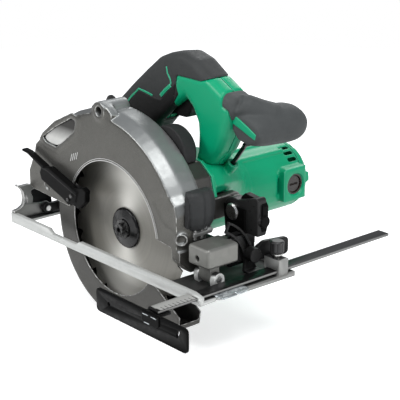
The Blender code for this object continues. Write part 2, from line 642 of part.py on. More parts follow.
def upper_guard():
    shell = guard_form("upper_guard", 0, UPPER_NEAR, UPPER_BAND, UPPER_FAR)
    hollow = guard_form("Guard_hollow", UPPER_WALL, UPPER_NEAR + UPPER_WALL, UPPER_BAND,
                        UPPER_FAR - UPPER_WALL)
    boss = rod("Guard_top_boss", "Y", (-0.017, 0.157), 0.0105, (UPPER_NEAR - 0.0015, UPPER_FAR - 0.002), 20)
    window = prism("Chip_window", "Y", rounded([(-0.124, 0.107), (-0.118, 0.103), (-0.098, 0.101),
                                                (-0.064, 0.125), (-0.060, 0.138), (-0.068, 0.139),
                                                (-0.097, 0.124)], 0.004),
                   (UPPER_NEAR - 0.002, UPPER_NEAR + 0.004))
    fuse(cut(shell, hollow), boss)
    cut(shell, window,
        rod("Guard_near_opening", "Y", AXIS, OPENING_R, (-0.030, -0.012), 48),
        prism("Guard_front_opening", "Y", [(0.060, 0.000), (0.060, 0.0385), (0.0780, 0.0385), (0.0995, 0.0360),
                                           (0.1000, 0.0270), (0.0975, 0.0140), (0.0930, 0.0000)], (-0.030, -0.012)),
        rod("Guard_far_opening", "Y", AXIS, 0.036, (0.008, 0.020), 24),
        rod("Top_boss_hole", "Y", (-0.017, 0.157), 0.0052, (-0.030, 0.004), 16),
        rod("Depth_bolt_hole", "Y", DEPTH_BOLT, CLAMP_BOLT_R + GAP, (0.008, 0.020), 16))
    return keep(shell, "saw_head", "cast_grey")


def gear_case_outline(front):
    """The gear case seen along the blade's axis: round the big gear below, wide at the front."""
    gear_r = GEAR_MODULE * (GEAR_TEETH / 2 + 0.85) + 0.0026
    return (arc(AXIS, gear_r, 205, 325, 10)
            + [(0.040, 0.016), (0.070, 0.030), (front - 0.002, 0.044), (front, 0.060), (front, 0.0758), (0.099, 0.0765),
               (0.093, 0.099), (0.076, 0.1115), (0.018, 0.1115), (-0.018, 0.110), (-0.040, 0.094),
               (-0.048, 0.072), (-0.040, 0.040)])


def gear_cover():
    outline = gear_case_outline(CASE_FRONT)
    cover = prism("gear_cover", "Y", outline, (UPPER_FAR + GAP, COVER_BACK))
    soften(cover, 0.0015, 1, 60)
    hollow = prism("Gear_room", "Y", inset(gear_case_outline(BEAM_BACK - 0.002), 0.0020), (0.0175, COVER_BACK + 0.002))
    beam = block("Pivot_beam", (BEAM_BACK, CASE_FRONT), (0.030, 0.0755), (0.051, 0.075))
    ear = rod("Pivot_ear", "Y", DEPTH_PIVOT, 0.0128, (ARM_FAR + GAP, 0.0755), 28)
    ear_web = block("Ear_web", (0.090, DEPTH_X), (ARM_FAR + GAP, 0.0755), (0.053, 0.073))
    boss = rod("Guard_boss", "Y", AXIS, HUB_R, (0.0045, 0.016), 28)
    fuse(cut(cover, hollow), boss, beam, ear, ear_web)
    cut(cover, rod("Bearing_seat", "Y", AXIS, 0.0160 + GAP, (0.003, 0.0130), 20),
        rod("Spindle_passage", "Y", AXIS, 0.0095, (0.010, 0.020), 16),
        rod("Ear_bore", "Y", DEPTH_PIVOT, DEPTH_PIN_R + GAP, (0.060, 0.078), 20))
    return keep(cover, "saw_head", "cast_grey")


def dust_dome():
    dome = turned("dust_elbow", "Y", (0.050, 0.120),
                  [(0, 0.0362), (0.0225, 0.0362), (0.0275, 0.0310), (0.0280, 0.0150), (0, 0.0150)], 28)
    below = block("Dome_seat", (0.010, 0.090), (0.010, 0.040), (0.080, 0.1118))
    mouth = rod("Dome_mouth", "X", (0.0250, 0.1270), 0.0070, (0.015, 0.040), 20)
    return keep(cut(dome, below, mouth), "saw_head", "grey_rubber")


def front_cap():
    """The rubber-faced front light on the guard's nose, its lens and the bracket it sits on."""
    cap = prism("front_cap", "Y", rounded([(0.106, 0.0560), (0.1200, 0.0540), (0.1240, 0.0670), (0.1222, 0.0860),
                                           (0.1170, 0.0945), (0.106, 0.0960)], 0.003), (-0.0070, 0.0225))
    side = prism("Cap_side", "Y", rounded([(0.106, 0.0590), (0.1165, 0.0570), (0.1195, 0.0690), (0.1175, 0.0850),
                                           (0.106, 0.0880)], 0.003), (-0.0130, -0.0060))
    fuse(cap, side)
    cut(cap, guard_form("Cap_seat", -GAP, UPPER_NEAR - GAP, UPPER_BAND, UPPER_FAR + GAP),
        block("Cap_back", (0.09, GUARD_FRONT - 0.004), (-0.02, 0.03), (0.05, 0.10)),
        rod("Lens_seat", "Z", (0.1180, 0.0080), 0.0032, (0.045, 0.062), 16))
    lens = turned("light_lens", "Z", (0.1180, 0.0080),
                  [(0, 0.0610), (0.0029, 0.0610), (0.0029, 0.0560), (0.0022, 0.0545), (0, 0.0540)], 16)
    keep(lens, "saw_head", "clear")
    keep(cap, "saw_head", "grey_rubber")
    start = GUARD_FRONT + GAP
    bracket = prism("light_bracket", "Y", [(start, 0.0475), (0.1150, 0.0475), (0.1172, 0.0520), (start, 0.0535)],
                    (-0.0050, 0.0200))
    return keep(bracket, "saw_head", "bright_cast")


def depth_lock():
    bolt = rod("depth_lock_bolt", "Y", DEPTH_BOLT, CLAMP_BOLT_R, (UPPER_FAR - UPPER_WALL, 0.0300), 20)
    collar = rod("Depth_bolt_collar", "Y", DEPTH_BOLT, 0.0055, (UPPER_FAR + GAP, LINK_NEAR - GAP), 20)
    keep(fuse(bolt, collar), "saw_head", "steel")
    start = LINK_FAR + GAP
    hub = rod("depth_lock_lever", "Y", DEPTH_BOLT, 0.0085, (start, 0.0320), 24)
    x, z = DEPTH_BOLT
    wing = prism("Depth_lever_wing", "Y", rounded([(x - 0.004, z - 0.008), (x - 0.058, z + 0.012),
                                                   (x - 0.062, z + 0.022), (x - 0.056, z + 0.026),
                                                   (x + 0.002, z + 0.008)], 0.003), (start + 0.004, start + 0.011))
    soften(wing, 0.0012, 1)
    fuse(hub, wing)
    cut(hub, rod("Depth_lever_bore", "Y", DEPTH_BOLT, CLAMP_BOLT_R + GAP, (start - 0.001, 0.0305), 20))
    return keep(hub, "depth_clamp", "black_plastic")


# ---------------------------------------------------------------- lower guard
def tangent_points(radius, start, reach):
    """The straight run that leaves a circle forwards at the start angle, out to the reach."""
    length = sqrt(reach ** 2 - radius ** 2)
    a = radians(start)
    foot = (AXIS[0] + radius * cos(a), AXIS[1] + radius * sin(a))
    return [(foot[0] - sin(a) * length * t, foot[1] + cos(a) * length * t) for t in (0.0, 0.5, 1.0)]


def polar(radius, angle):
    return AXIS[0] + radius * cos(radians(angle)), AXIS[1] + radius * sin(radians(angle))


def lower_guard_outline(off, inner, front, back):
    """The guard's sector; off moves its rim inwards, front and back are its end angles."""
    radius = LOWER_GUARD_R - off
    nose = tangent_points(radius, NOSE_FOOT, NOSE_R - NOSE_STEP - off)
    tip = polar(NOSE_R - off, front - 6)
    corner = polar(NOSE_R - 2 * NOSE_STEP - off, front)
    return (arc(AXIS, radius, back - 360, NOSE_FOOT, 22) + nose[1:] + [tip, corner]
            + arc(AXIS, inner, front, back - 360, 14))


def lower_guard():
    y = (LOWER_NEAR, LOWER_FAR)
    wall = LOWER_GUARD_WALL
    shell = prism("lower_guard", "Y", lower_guard_outline(0, 0.034, NOSE_END + 8.7, 150), y)
    hub = rod("Guard_hub", "Y", AXIS, 0.0350, (0.0060, LOWER_FAR), 24)
    hollow = prism("Lower_hollow", "Y", lower_guard_outline(wall, 0.0300, NOSE_END + 13.2, 144),
                   (y[0] + wall, y[1] - wall))
    reach = prism("Nose_mouth", "Y", [polar(NOSE_R * 0.846, NOSE_END + 9.5), polar(NOSE_R * 1.105, NOSE_END - 1.2),
                                      polar(NOSE_R * 1.294, NOSE_END + 9.6), polar(NOSE_R * 1.153, NOSE_END + 25.8)],
                  (y[0] + wall, y[1] - wall))
    fuse(cut(shell, hollow), hub)
    cut(shell, rod("Guard_near_hole", "Y", AXIS, LOWER_GUARD_INNER_R, (y[0] - 0.002, 0.005), 40),
        rod("Guard_bore", "Y", AXIS, HUB_R + RUN, (0.004, 0.013), 28))
    return keep(shell, "lower_guard_body", "cast_grey")


def guard_lever():
    y = (-0.0330, -0.0245)
    blade = prism("guard_lever", "Y", rounded([(-0.158, 0.088), (-0.161, 0.081), (-0.122, 0.068),
                                               (-0.100, 0.046), (-0.062, 0.050), (-0.036, 0.046),
                                               (-0.033, 0.056), (-0.060, 0.066), (-0.098, 0.064),
                                               (-0.120, 0.078)], 0.003), y)
    soften(blade, 0.0010, 1)
    foot = prism("Lever_foot", "Y", band(AXIS, 0.0725, 0.0765, 152, 166, 6), (LOWER_NEAR - 0.0054, -0.0196))
    fuse(blade, foot)
    return keep(blade, "lower_guard_body", "black_plastic")


def guard_spring():
    """The coil that returns the lower guard, wound round the gear case's boss."""
    turns, steps, sides, wire = 1.25, 20, 5, 0.0005
    rings = []
    for i in range(int(turns * steps) + 1):
        a = 2 * pi * i / steps
        along = 0.0118 + 0.0016 * i / steps
        ring = []
        for k in range(sides):
            b = 2 * pi * k / sides
            r = 0.0246 + wire * cos(b)
            ring.append((AXIS[0] + r * cos(a), along + wire * sin(b), AXIS[1] + r * sin(a)))
        rings.append(ring)
    return keep(loft("guard_spring", rings), "saw_head", "steel")


def guard_ring():
    profile = [(HUB_R + GAP, 0.0056), (0.0262, 0.0056), (0.0262, 0.0044), (HUB_R + GAP, 0.0044)]
    return keep(turned("guard_retaining_ring", "Y", AXIS, profile, 20), "saw_head", "steel")


# ---------------------------------------------------------------- blade drive
def saw_blade():
    tip, root = BLADE_R, BLADE_R - 0.0085
    outline = []
    for k in range(BLADE_TEETH):
        a = 2 * pi * k / BLADE_TEETH
        pitch = 2 * pi / BLADE_TEETH
        for share, radius in ((0.0, tip), (0.03, tip - 0.0004), (0.10, root + 0.0012), (0.18, root),
                              (0.27, root + 0.0020), (0.42, tip - 0.0022), (0.98, tip - 0.0008)):
            outline.append((AXIS[0] + radius * cos(a + share * pitch), AXIS[1] + radius * sin(a + share * pitch)))
    half = BLADE_THICKNESS / 2
    holes = [ring_of(AXIS, BLADE_BORE / 2, 32)]
    blade = prism("saw_blade", "Y", outline, (-half, half), holes)
    return keep(blade, "blade_drive", "steel")


def flanges():
    near = BLADE_THICKNESS / 2 + GAP
    outer = turned("outer_flange", "Y", AXIS, [(0.0055, -near), (0.0110, -near - 0.0008), (0.0160, -near - 0.0008),
                                               (0.0165, -near), (0.0225, -near), (0.0230, -near - 0.0012),
                                               (0.0215, -near - 0.0032), (0.0125, -near - 0.0050),
                                               (0.0055, -near - 0.0050)], 22)
    inner = turned("inner_flange", "Y", AXIS, [(0.0078, near + 0.0028), (0.0200, near + 0.0028),
                                               (0.0230, near + 0.0012), (0.0230, near), (0.0165, near),
                                               (0.0160, near + 0.0006), (0.0078, near + 0.0006)], 22)
    keep(outer, "blade_drive", "black_steel")
    keep(inner, "blade_drive", "black_steel")
    base = -near - 0.0050 - GAP
    head = rod("blade_bolt", "Y", AXIS, 0.0075, (base - 0.0062, base), 6)
    washer = rod("Bolt_washer", "Y", AXIS, 0.0105, (base - 0.0018, base), 20)
    shank = rod("Bolt_shank", "Y", AXIS, 0.0038, (base - 0.001, 0.0150), 12)
    socket = rod("Bolt_socket", "Y", AXIS, 0.0030, (base - 0.008, base - 0.003), 6)
    keep(cut(fuse(head, washer, shank), socket), "blade_drive", "black_steel")


def spindle():
    profile = [(0, 0.0370), (0.0052, 0.0370), (0.0052, 0.0312), (0.0075, 0.0308), (0.0075, -0.0006),
               (0.0041, -0.0006), (0.0041, 0.0160), (0, 0.0160)]
    shaft = turned("spindle", "Y", AXIS, profile, 20)
    keep(shaft, "blade_drive", "steel")
    span = (GEAR_Y - GEAR_WIDTH / 2, GEAR_Y + GEAR_WIDTH / 2)
    gap_angle = SHAFT_ANGLE + pi / GEAR_TEETH
    gear = prism("driven_gear", "Y", gear_outline(GEAR_TEETH, AXIS, gap_angle), span,
                 [ring_of(AXIS, 0.0075 + GAP, 20)])
    keep(gear, "blade_drive", "steel")
    bearing_ring("spindle_bearing", AXIS, 0.0075 + GAP, 0.0160, (0.0056, 0.0128))
    bearing_ring("spindle_end_bearing", AXIS, 0.0052 + GAP, 0.0095, (0.0322, 0.0370))


def bearing_ring(name, centre, inner, outer, span):
    """A shielded ball bearing, as one ring with its outer edges broken."""
    chamfer = 0.0006
    profile = [(inner, span[1]), (outer - chamfer, span[1]), (outer, span[1] - chamfer),
               (outer, span[0] + chamfer), (outer - chamfer, span[0]), (inner, span[0])]
    return keep(turned(name, "Y", centre, profile, 16), "saw_head", "steel")


# ---------------------------------------------------------------- motor
def armature():
    profile = [(0, 0.2245), (0.0040, 0.2245), (0.0040, 0.2130), (0.0050, 0.2120), (0.0050, 0.0480),
               (0.0060, 0.0470), (0.0060, 0.0380), (0.0042, 0.0370), (0.0042, 0.0185), (0, 0.0185)]
    shaft = turned("armature_shaft", "Y", MOTOR, profile, 14)
    span = (GEAR_Y - GEAR_WIDTH / 2 - 0.001, GEAR_Y + GEAR_WIDTH / 2 + 0.004)
    pinion = prism("Pinion", "Y", gear_outline(PINION_TEETH, MOTOR, SHAFT_ANGLE + pi), span)
    keep(fuse(shaft, pinion), "armature", "steel")
    core = turned("armature_core", "Y", MOTOR, [(0.0050 + GAP, 0.1700), (0.0180, 0.1700), (0.0225, 0.1620),
                                                (0.0240, 0.1580), (0.0240, 0.0980), (0.0225, 0.0940),
                                                (0.0180, 0.0850), (0.0050 + GAP, 0.0850)], 18)
    keep(core, "armature", "copper")
    ring = turned("commutator", "Y", MOTOR, [(0.0050 + GAP, 0.2090), (0.0130, 0.2090), (0.0130, 0.1860),
                                             (0.0150, 0.1850), (0.0150, 0.1820), (0.0050 + GAP, 0.1820)], 16)
    keep(ring, "armature", "copper")
    fan = rod("cooling_fan", "Y", MOTOR, 0.0320, (0.0560, 0.0575), 20)
    hub = rod("Fan_hub", "Y", MOTOR, 0.0105, (0.0560, 0.0680), 16)
    fuse(fan, hub)
    for k in range(9):
        a = 2 * pi * k / 9
        start = (MOTOR[0] + 0.013 * cos(a), MOTOR[1] + 0.013 * sin(a))
        end = (MOTOR[0] + 0.0315 * cos(a + 0.35), MOTOR[1] + 0.0315 * sin(a + 0.35))
        fuse(fan, prism("Fan_vane_%02d" % k, "Y", ribbon([start, end], 0.0014), (0.0570, 0.0660)))
    cut(fan, rod("Fan_bore", "Y", MOTOR, 0.0050 + GAP, (0.055, 0.069), 12))
    keep(fan, "armature", "black_plastic")
    bearing_ring("armature_front_bearing", MOTOR, 0.0060 + GAP, 0.0130, (0.0390, 0.0455))
    bearing_ring("armature_rear_bearing", MOTOR, 0.0040 + GAP, 0.0095, (0.2160, 0.2225))


def stator():
    profile = [(0.0255, 0.1620), (0.0300, 0.1680), (0.0350, 0.1680), (0.0362, 0.1600), (0.0362, 0.0960),
               (0.0350, 0.0880), (0.0300, 0.0880), (0.0255, 0.0940)]
    return keep(turned("stator", "Y", MOTOR, profile, 18), "saw_head", "steel")


def polar_reach(outline, centre, angle):
    """How far an outline lies from a centre inside it, in one direction."""
    ahead = Vector((cos(angle), sin(angle)))
    best = 0.0
    for here, there in zip(outline, outline[1:] + outline[:1]):
        start, edge = Vector(here) - Vector(centre), Vector(there) - Vector(here)
        cross = ahead.x * edge.y - ahead.y * edge.x
        if abs(cross) > 1e-12:
            along = (start.x * edge.y - start.y * edge.x) / cross
            share = (start.x * ahead.y - start.y * ahead.x) / cross
            if along > best and -1e-9 <= share <= 1 + 1e-9:
                best = along
    return best


def housing_form(name, off, span):
    """The shoulder behind the gear case and the barrel, moved inwards by off; span is its Y range."""
    start = COVER_BACK + GAP
    stations = [span[0]] + [y for y in (start, 0.058, 0.074, 0.090, 0.105, 0.117, SHOULDER_END)
                            if y > span[0] + GAP]
    stations += [MOTOR_SEAM, MOTOR_SEAM + 0.0004, span[1]]
    outline = gear_case_outline(BEAM_BACK - 0.001)
    rings = []
    for y in stations:
        part = min(1.0, max(0.0, (y - start) / (SHOULDER_END - start)))
        barrel = MOTOR_R + (SEAM_STEP if y <= MOTOR_SEAM else 0)
        ring = []
        for k in range(28):
            a = 2 * pi * k / 28
            full = polar_reach(outline, MOTOR, a) if k < 15 else barrel
            reach = barrel + max(full - barrel, 0) * (1 - part ** 1.8) - off
            ring.append((MOTOR[0] + reach * cos(a), y, MOTOR[1] + reach * sin(a)))
        rings.append(ring)
    return loft(name, rings)


def motor_housing():
    flange = prism("motor_housing", "Y", gear_case_outline(BEAM_BACK - 0.001),
                   (COVER_BACK + GAP, COVER_BACK + GAP + FLANGE))
    barrel = housing_form("Housing_barrel", 0, (COVER_BACK + GAP, MOTOR_END))
    x, z = MOTOR
    bosses = [rod("Brush_boss_front", "X", (BRUSH_Y, z), 0.0130, (x, x + MOTOR_R + 0.0015), 20),
              rod("Brush_boss_rear", "X", (BRUSH_Y, z), 0.0130, (x - MOTOR_R - 0.0015, x), 20)]
    hollow = housing_form("Motor_room", HOUSING_WALL, (0.0480, MOTOR_END + 0.002))
    beam_room = block("Beam_room", (BEAM_BACK - GAP, 0.120), (COVER_BACK, 0.095), (0.020, 0.0764))
    socket = key_form("Key_socket", 0.0068, 0.0, 0.0120, 16)
    fuse(flange, barrel, *bosses, socket)
    cut(flange, hollow, beam_room, key_form("Key_hole", KEY_R + 0.0006, 0.0015, 0.060, 16),
        rod("Brush_bore", "X", (BRUSH_Y, z), 0.0100 + GAP, (x - 0.060, x + 0.060), 20),
        rod("Front_bearing_seat", "Y", MOTOR, 0.0130 + GAP, (0.0380, 0.0490), 20),
        rod("Spindle_end_seat", "Y", AXIS, 0.0095 + GAP, (0.0300, 0.0374), 16))
    return keep(flange, "saw_head", "green_shell")


def key_form(name, radius, start, end, sides):
    """A round bar along the stored key's axis, between two distances from its foot."""
    turn = atan2(KEY_HEAD[0] - KEY_FOOT[0], KEY_HEAD[1] - KEY_FOOT[1])
    middle = (start + end) / 2
    bm = bmesh.new()
    bmesh.ops.create_cone(bm, cap_ends=True, segments=sides, radius1=radius, radius2=radius, depth=end - start)
    spot = (KEY_FOOT[0] + middle * sin(turn), KEY_Y, KEY_FOOT[1] + middle * cos(turn))
    bm.transform(Matrix.Translation(spot) @ Matrix.Rotation(turn, 4, "Y"))
    return from_bmesh(name, bm)


def hex_key():
    """The wrench for the blade's bolt, stored in a socket on the housing."""
    length = sqrt((KEY_HEAD[0] - KEY_FOOT[0]) ** 2 + (KEY_HEAD[1] - KEY_FOOT[1]) ** 2)
    key = key_form("hex_key", KEY_R, 0.0020, length, 6)
    arm = rod("Key_arm", "Y", KEY_HEAD, KEY_R, (KEY_Y - KEY_R, KEY_Y + 0.0180), 6)
    return keep(fuse(key, arm), "saw_head", "black_steel")


def tail_cover():
    start = MOTOR_END + GAP
    profile = [(0, TAIL_END), (0.0270, TAIL_END), (0.0350, TAIL_END - 0.0030), (0.0388, TAIL_END - 0.0085),
               (MOTOR_R, start + 0.0005), (MOTOR_R, start), (MOTOR_R - HOUSING_WALL, start),
               (MOTOR_R - HOUSING_WALL - 0.0008, TAIL_END - 0.0090), (0.0330, TAIL_END - 0.0052),
               (0.0260, TAIL_END - 0.0026), (0.0132, TAIL_END - 0.0026), (0.0130, 0.2155), (0.0098, 0.2155),
               (0.0098, TAIL_END - 0.0040), (0, TAIL_END - 0.0040)]
    cover = turned("tail_cover", "Y", MOTOR, profile, 24)
    for k in range(TAIL_VENTS):
        a = 2 * pi * (k + 0.5) / TAIL_VENTS
        inner = (MOTOR[0] + 0.0300 * cos(a), MOTOR[1] + 0.0300 * sin(a))
        outer = (MOTOR[0] + 0.0440 * cos(a), MOTOR[1] + 0.0440 * sin(a))
        cut(cover, prism("Tail_vent_%02d" % k, "Y", ribbon([inner, outer], 0.0040),
                         (start + 0.0030, TAIL_END - 0.0035)))
    return keep(cover, "saw_head", "green_shell")


def brushes():
    x, z = MOTOR
    for side, name in ((1, "front"), (-1, "rear")):
        face = x + side * (MOTOR_R + 0.0010)
        span = tuple(sorted((face, face - side * 0.0100)))
        cap = rod("brush_cap_" + name, "X", (BRUSH_Y, z), 0.0100, span, 20)
        slot = block("Cap_slot_" + name, tuple(sorted((face + side * 0.001, face - side * 0.0015))),
                     (BRUSH_Y - 0.0062, BRUSH_Y + 0.0062), (z - 0.0008, z + 0.0008))
        keep(cut(cap, slot), "saw_head", "black_plastic")
        inner = x + side * (0.0130 + RUN)
        outer = face - side * (0.0100 + GAP)
        carbon = block("carbon_brush_" + name, tuple(sorted((inner, outer))),
                       (BRUSH_Y - 0.0055, BRUSH_Y + 0.0055), (z - 0.0035, z + 0.0035))
        keep(carbon, "saw_head", "carbon")


# ---------------------------------------------------------------- handle
def handle_outline():
    outer = [(-0.1120, 0.0980), (-0.1040, 0.1210), (-0.0860, 0.1400), (-0.0490, 0.1720), (-0.0240, 0.1920),
             (-0.0030, 0.2080), (0.0130, 0.2145), (0.0360, 0.2185), (0.0560, 0.2130), (0.0830, 0.1960),
             (0.1000, 0.1870), (0.1130, 0.1820)]
    front = [(0.1150, 0.1700), (0.1080, 0.1530), (0.1030, 0.1380), (0.0940, 0.1220), (0.0800, 0.1060),
             (0.0700, 0.0900), (0.0640, 0.0740)]
    inner = [(0.0380, 0.0740), (0.0480, 0.0980), (0.0600, 0.1170), (0.0610, 0.1370), (0.0600, 0.1480),
             (0.0520, 0.1620), (0.0420, 0.1700), (0.0220, 0.1560), (-0.0050, 0.1340), (-0.0200, 0.1180),
             (-0.0280, 0.0980), (-0.0240, 0.0720)]
    rear = [(-0.0300, 0.0520), (-0.0560, 0.0560), (-0.0840, 0.0700)]
    return outer + front + inner + rear


def handle_form(name, off):
    span = (HANDLE_NEAR + off, HANDLE_FAR - off)
    return pillow(name, inset(handle_outline(), off), span, (HANDLE_EDGE - off, 0.0090 - off * 0.4))


def handle():
    """The handle's two halves, with a rubber sleeve round the part that the hand holds."""
    grip_zone = [(-0.150, 0.118), (-0.062, 0.044), (-0.060, 0.100), (0.0200, 0.1440), (0.0300, 0.1930),
                 (0.0680, 0.1930), (0.1080, 0.2080), (0.1000, 0.2400), (-0.150, 0.2400)]
    sleeve = handle_form("grip_sleeve", 0)
    carve(sleeve, prism("Grip_zone", "Y", grip_zone, (0.030, 0.095)), "INTERSECT")
    cut(sleeve, handle_form("Sleeve_core", GRIP_SKIN), trigger_room("Sleeve_trigger_room"),
        gland_form("Sleeve_gland_hole", 0.0092 + GAP, 0.0300))
    keep(sleeve, "saw_head", "black_plastic")
    mid = HANDLE_MID
    for name, side in (("handle_near_half", -1), ("handle_far_half", 1)):
        half = handle_form(name, GRIP_SKIN + GAP)
        bare = handle_form(name + "_bare", 0)
        cut(bare, prism(name + "_zone", "Y", inset(grip_zone, -GAP), (0.030, 0.095)),
            grip_tongue_zone(name + "_tongue_zone", -GAP))
        fuse(half, bare)
        cut(half, handle_form(name + "_room", GRIP_SKIN + GAP + HANDLE_WALL))
        cut(half, trigger_room(name + "_trigger_room"),
            housing_seat(name + "_seat"), key_form(name + "_key_room", 0.0068 + GAP, -0.010, 0.0120 + GAP, 16),
            gland_form(name + "_gland_hole", 0.0092 + GAP, 0.0300),
            block(name + "_split", (-0.2, 0.2), (mid - 0.00015, 0.1) if side < 0 else (0.0, mid + 0.00015),
                  (0.0, 0.3)))
        keep(half, "saw_head", "green_shell")


def housing_seat(name):
    """The motor housing's outer form, grown by the clearance, to seat the handle's feet on it."""
    return housing_form(name, -GAP, (COVER_BACK - 0.004, MOTOR_END))


def trigger_room(name):
    return prism(name, "Y", [(-0.0010, 0.1360), (0.0460, 0.1360), (0.0480, 0.1900), (0.0250, 0.1930),
                             (-0.0020, 0.1620)], (HANDLE_MID - 0.0082, HANDLE_MID + 0.0082))


def trigger():
    y = (HANDLE_MID - 0.0075, HANDLE_MID + 0.0075)
    outline = rounded([(0.0110, 0.1500), (0.0230, 0.1465), (0.0360, 0.1470), (0.0420, 0.1560),
                       (0.0440, 0.1860), (0.0400, 0.1900), (0.0340, 0.1880), (0.0180, 0.1690)], 0.003)
    lever = prism("trigger", "Y", outline, y)
    soften(lever, 0.0012, 1)
    keep(cut(lever, rod("Trigger_bore", "Y", (TRIGGER_X, TRIGGER_Z), 0.0013, (0.03, 0.09), 12)),
         "trigger_body", "black_plastic")
    reach = GRIP_SKIN + HANDLE_WALL + 2 * GAP
    pin = rod("trigger_pin", "Y", (TRIGGER_X, TRIGGER_Z), 0.0010,
              (HANDLE_NEAR + reach, HANDLE_FAR - reach), 12)
    keep(pin, "saw_head", "steel")


def switch_body():
    x, z = -0.008, 0.172
    turn = radians(39)
    corners = [(x + u * cos(turn) - v * sin(turn), z + u * sin(turn) + v * cos(turn))
               for u, v in ((-0.013, -0.008), (0.010, -0.008), (0.010, 0.010), (-0.013, 0.010))]
    reach = GRIP_SKIN + HANDLE_WALL + 2 * GAP
    return keep(prism("switch_body", "Y", corners, (HANDLE_NEAR + reach, HANDLE_FAR - reach)),
                "saw_head", "black_plastic")


def grip_tongue_zone(name, off):
    """The part of the handle's front end that the front grip's rubber covers."""
    return prism(name, "Y", inset([(0.1000, 0.1725), (0.1000, 0.2100), (0.1400, 0.2100), (0.1400, 0.1350),
                                   (0.1090, 0.1350), (0.1090, 0.1690)], off), (0.030, 0.095))


def front_grip():
    """The front handle: a soft stub grip that wraps the front of the pillar and reaches over the motor."""
    tilt = radians(-20)
    stations = [(GRIP_NEAR, 20.0, 13.0, 126.0, 151.5), (GRIP_NEAR + 0.0015, 20.8, 14.2, 126.0, 151.5),
                (0.0660, 21.2, 16.5, 126.0, 151.5), (0.0780, 21.0, 19.0, 126.0, 151.5),
                (0.0940, 20.8, 20.8, 126.3, 151.8), (0.1090, 20.4, 20.6, 127.0, 151.0),
                (0.1190, 18.8, 18.8, 127.6, 150.0), (0.1260, 15.4, 15.2, 128.2, 149.0),
                (0.1305, 11.0, 10.8, 128.6, 148.2), (0.1330, 6.0, 5.8, 128.8, 147.8)]
    rings = []
    for y, wide, tall, x, z in stations:
        ring = []
        for k in range(18):
            a = 2 * pi * k / 18
            u = wide * abs(cos(a)) ** 0.85 * (1 if cos(a) >= 0 else -1) / 1000
            v = tall * abs(sin(a)) ** 0.90 * (1 if sin(a) >= 0 else -1) / 1000
            ring.append((x / 1000 + u * cos(tilt) - v * sin(tilt), y, z / 1000 + u * sin(tilt) + v * cos(tilt)))
        rings.append(ring)
    grip = loft("front_grip", rings)
    cut(grip, cut(handle_form("Pillar_seat", -GAP), grip_tongue_zone("Pillar_seat_zone", 0)))
    tongue = handle_form("Grip_tongue", 0)
    carve(tongue, grip_tongue_zone("Tongue_zone", 0), "INTERSECT")
    fuse(grip, tongue)
    cut(grip, handle_form("Tongue_core", GRIP_SKIN), key_form("Key_room", KEY_R + 0.0008, 0.020, 0.070, 12),
        rod("Key_arm_room", "Y", KEY_HEAD, KEY_R + 0.0008, (KEY_Y - 0.006, KEY_Y + 0.021), 12))
    return keep(grip, "saw_head", "grey_rubber")


def gland_form(name, radius, reach):
    """A round form across the slanted face at the handle's rear end."""
    bm = bmesh.new()
    bmesh.ops.create_cone(bm, cap_ends=True, segments=16, radius1=radius, radius2=radius, depth=reach)
    bm.transform(Matrix.Translation((-0.0975, HANDLE_MID, 0.0835)) @ Matrix.Rotation(radians(45), 4, "Y"))
    return from_bmesh(name, bm)


def cord_gland():
    """Where the lead leaves the handle's rear end."""
    gland = fuse(gland_form("cord_gland", 0.0080, 0.0180), gland_form("Gland_lip", 0.0092, 0.0040))
    return keep(cut(gland, gland_form("Gland_mouth", 0.0040, 0.0200)), "saw_head", "black_plastic")


def build_all():
    base_plate()
    rear_bracket()
    hinge_pins()
    bevel_quadrant()
    sight_plate()
    fence()
    fence_knob()
    hinge_bracket()
    pivot_arm()
    depth_pivot_pin()
    bevel_bolt()
    bevel_lever()
    depth_link()
    upper_guard()
    gear_cover()
    dust_dome()
    front_cap()
    depth_lock()
    lower_guard()
    guard_lever()
    guard_ring()
    guard_spring()
    saw_blade()
    flanges()
    spindle()
    armature()
    stator()
    motor_housing()
    hex_key()
    tail_cover()
    brushes()
    handle()
    trigger()
    switch_body()
    front_grip()
    cord_gland()


build_all()
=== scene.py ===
"""The looks of the circular saw: castings, moulded shells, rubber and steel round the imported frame."""

import json
from math import cos, pi, radians, sin

import bmesh
import bpy
import numpy as np
from mathutils import Matrix, Vector
from mathutils.bvhtree import BVHTree

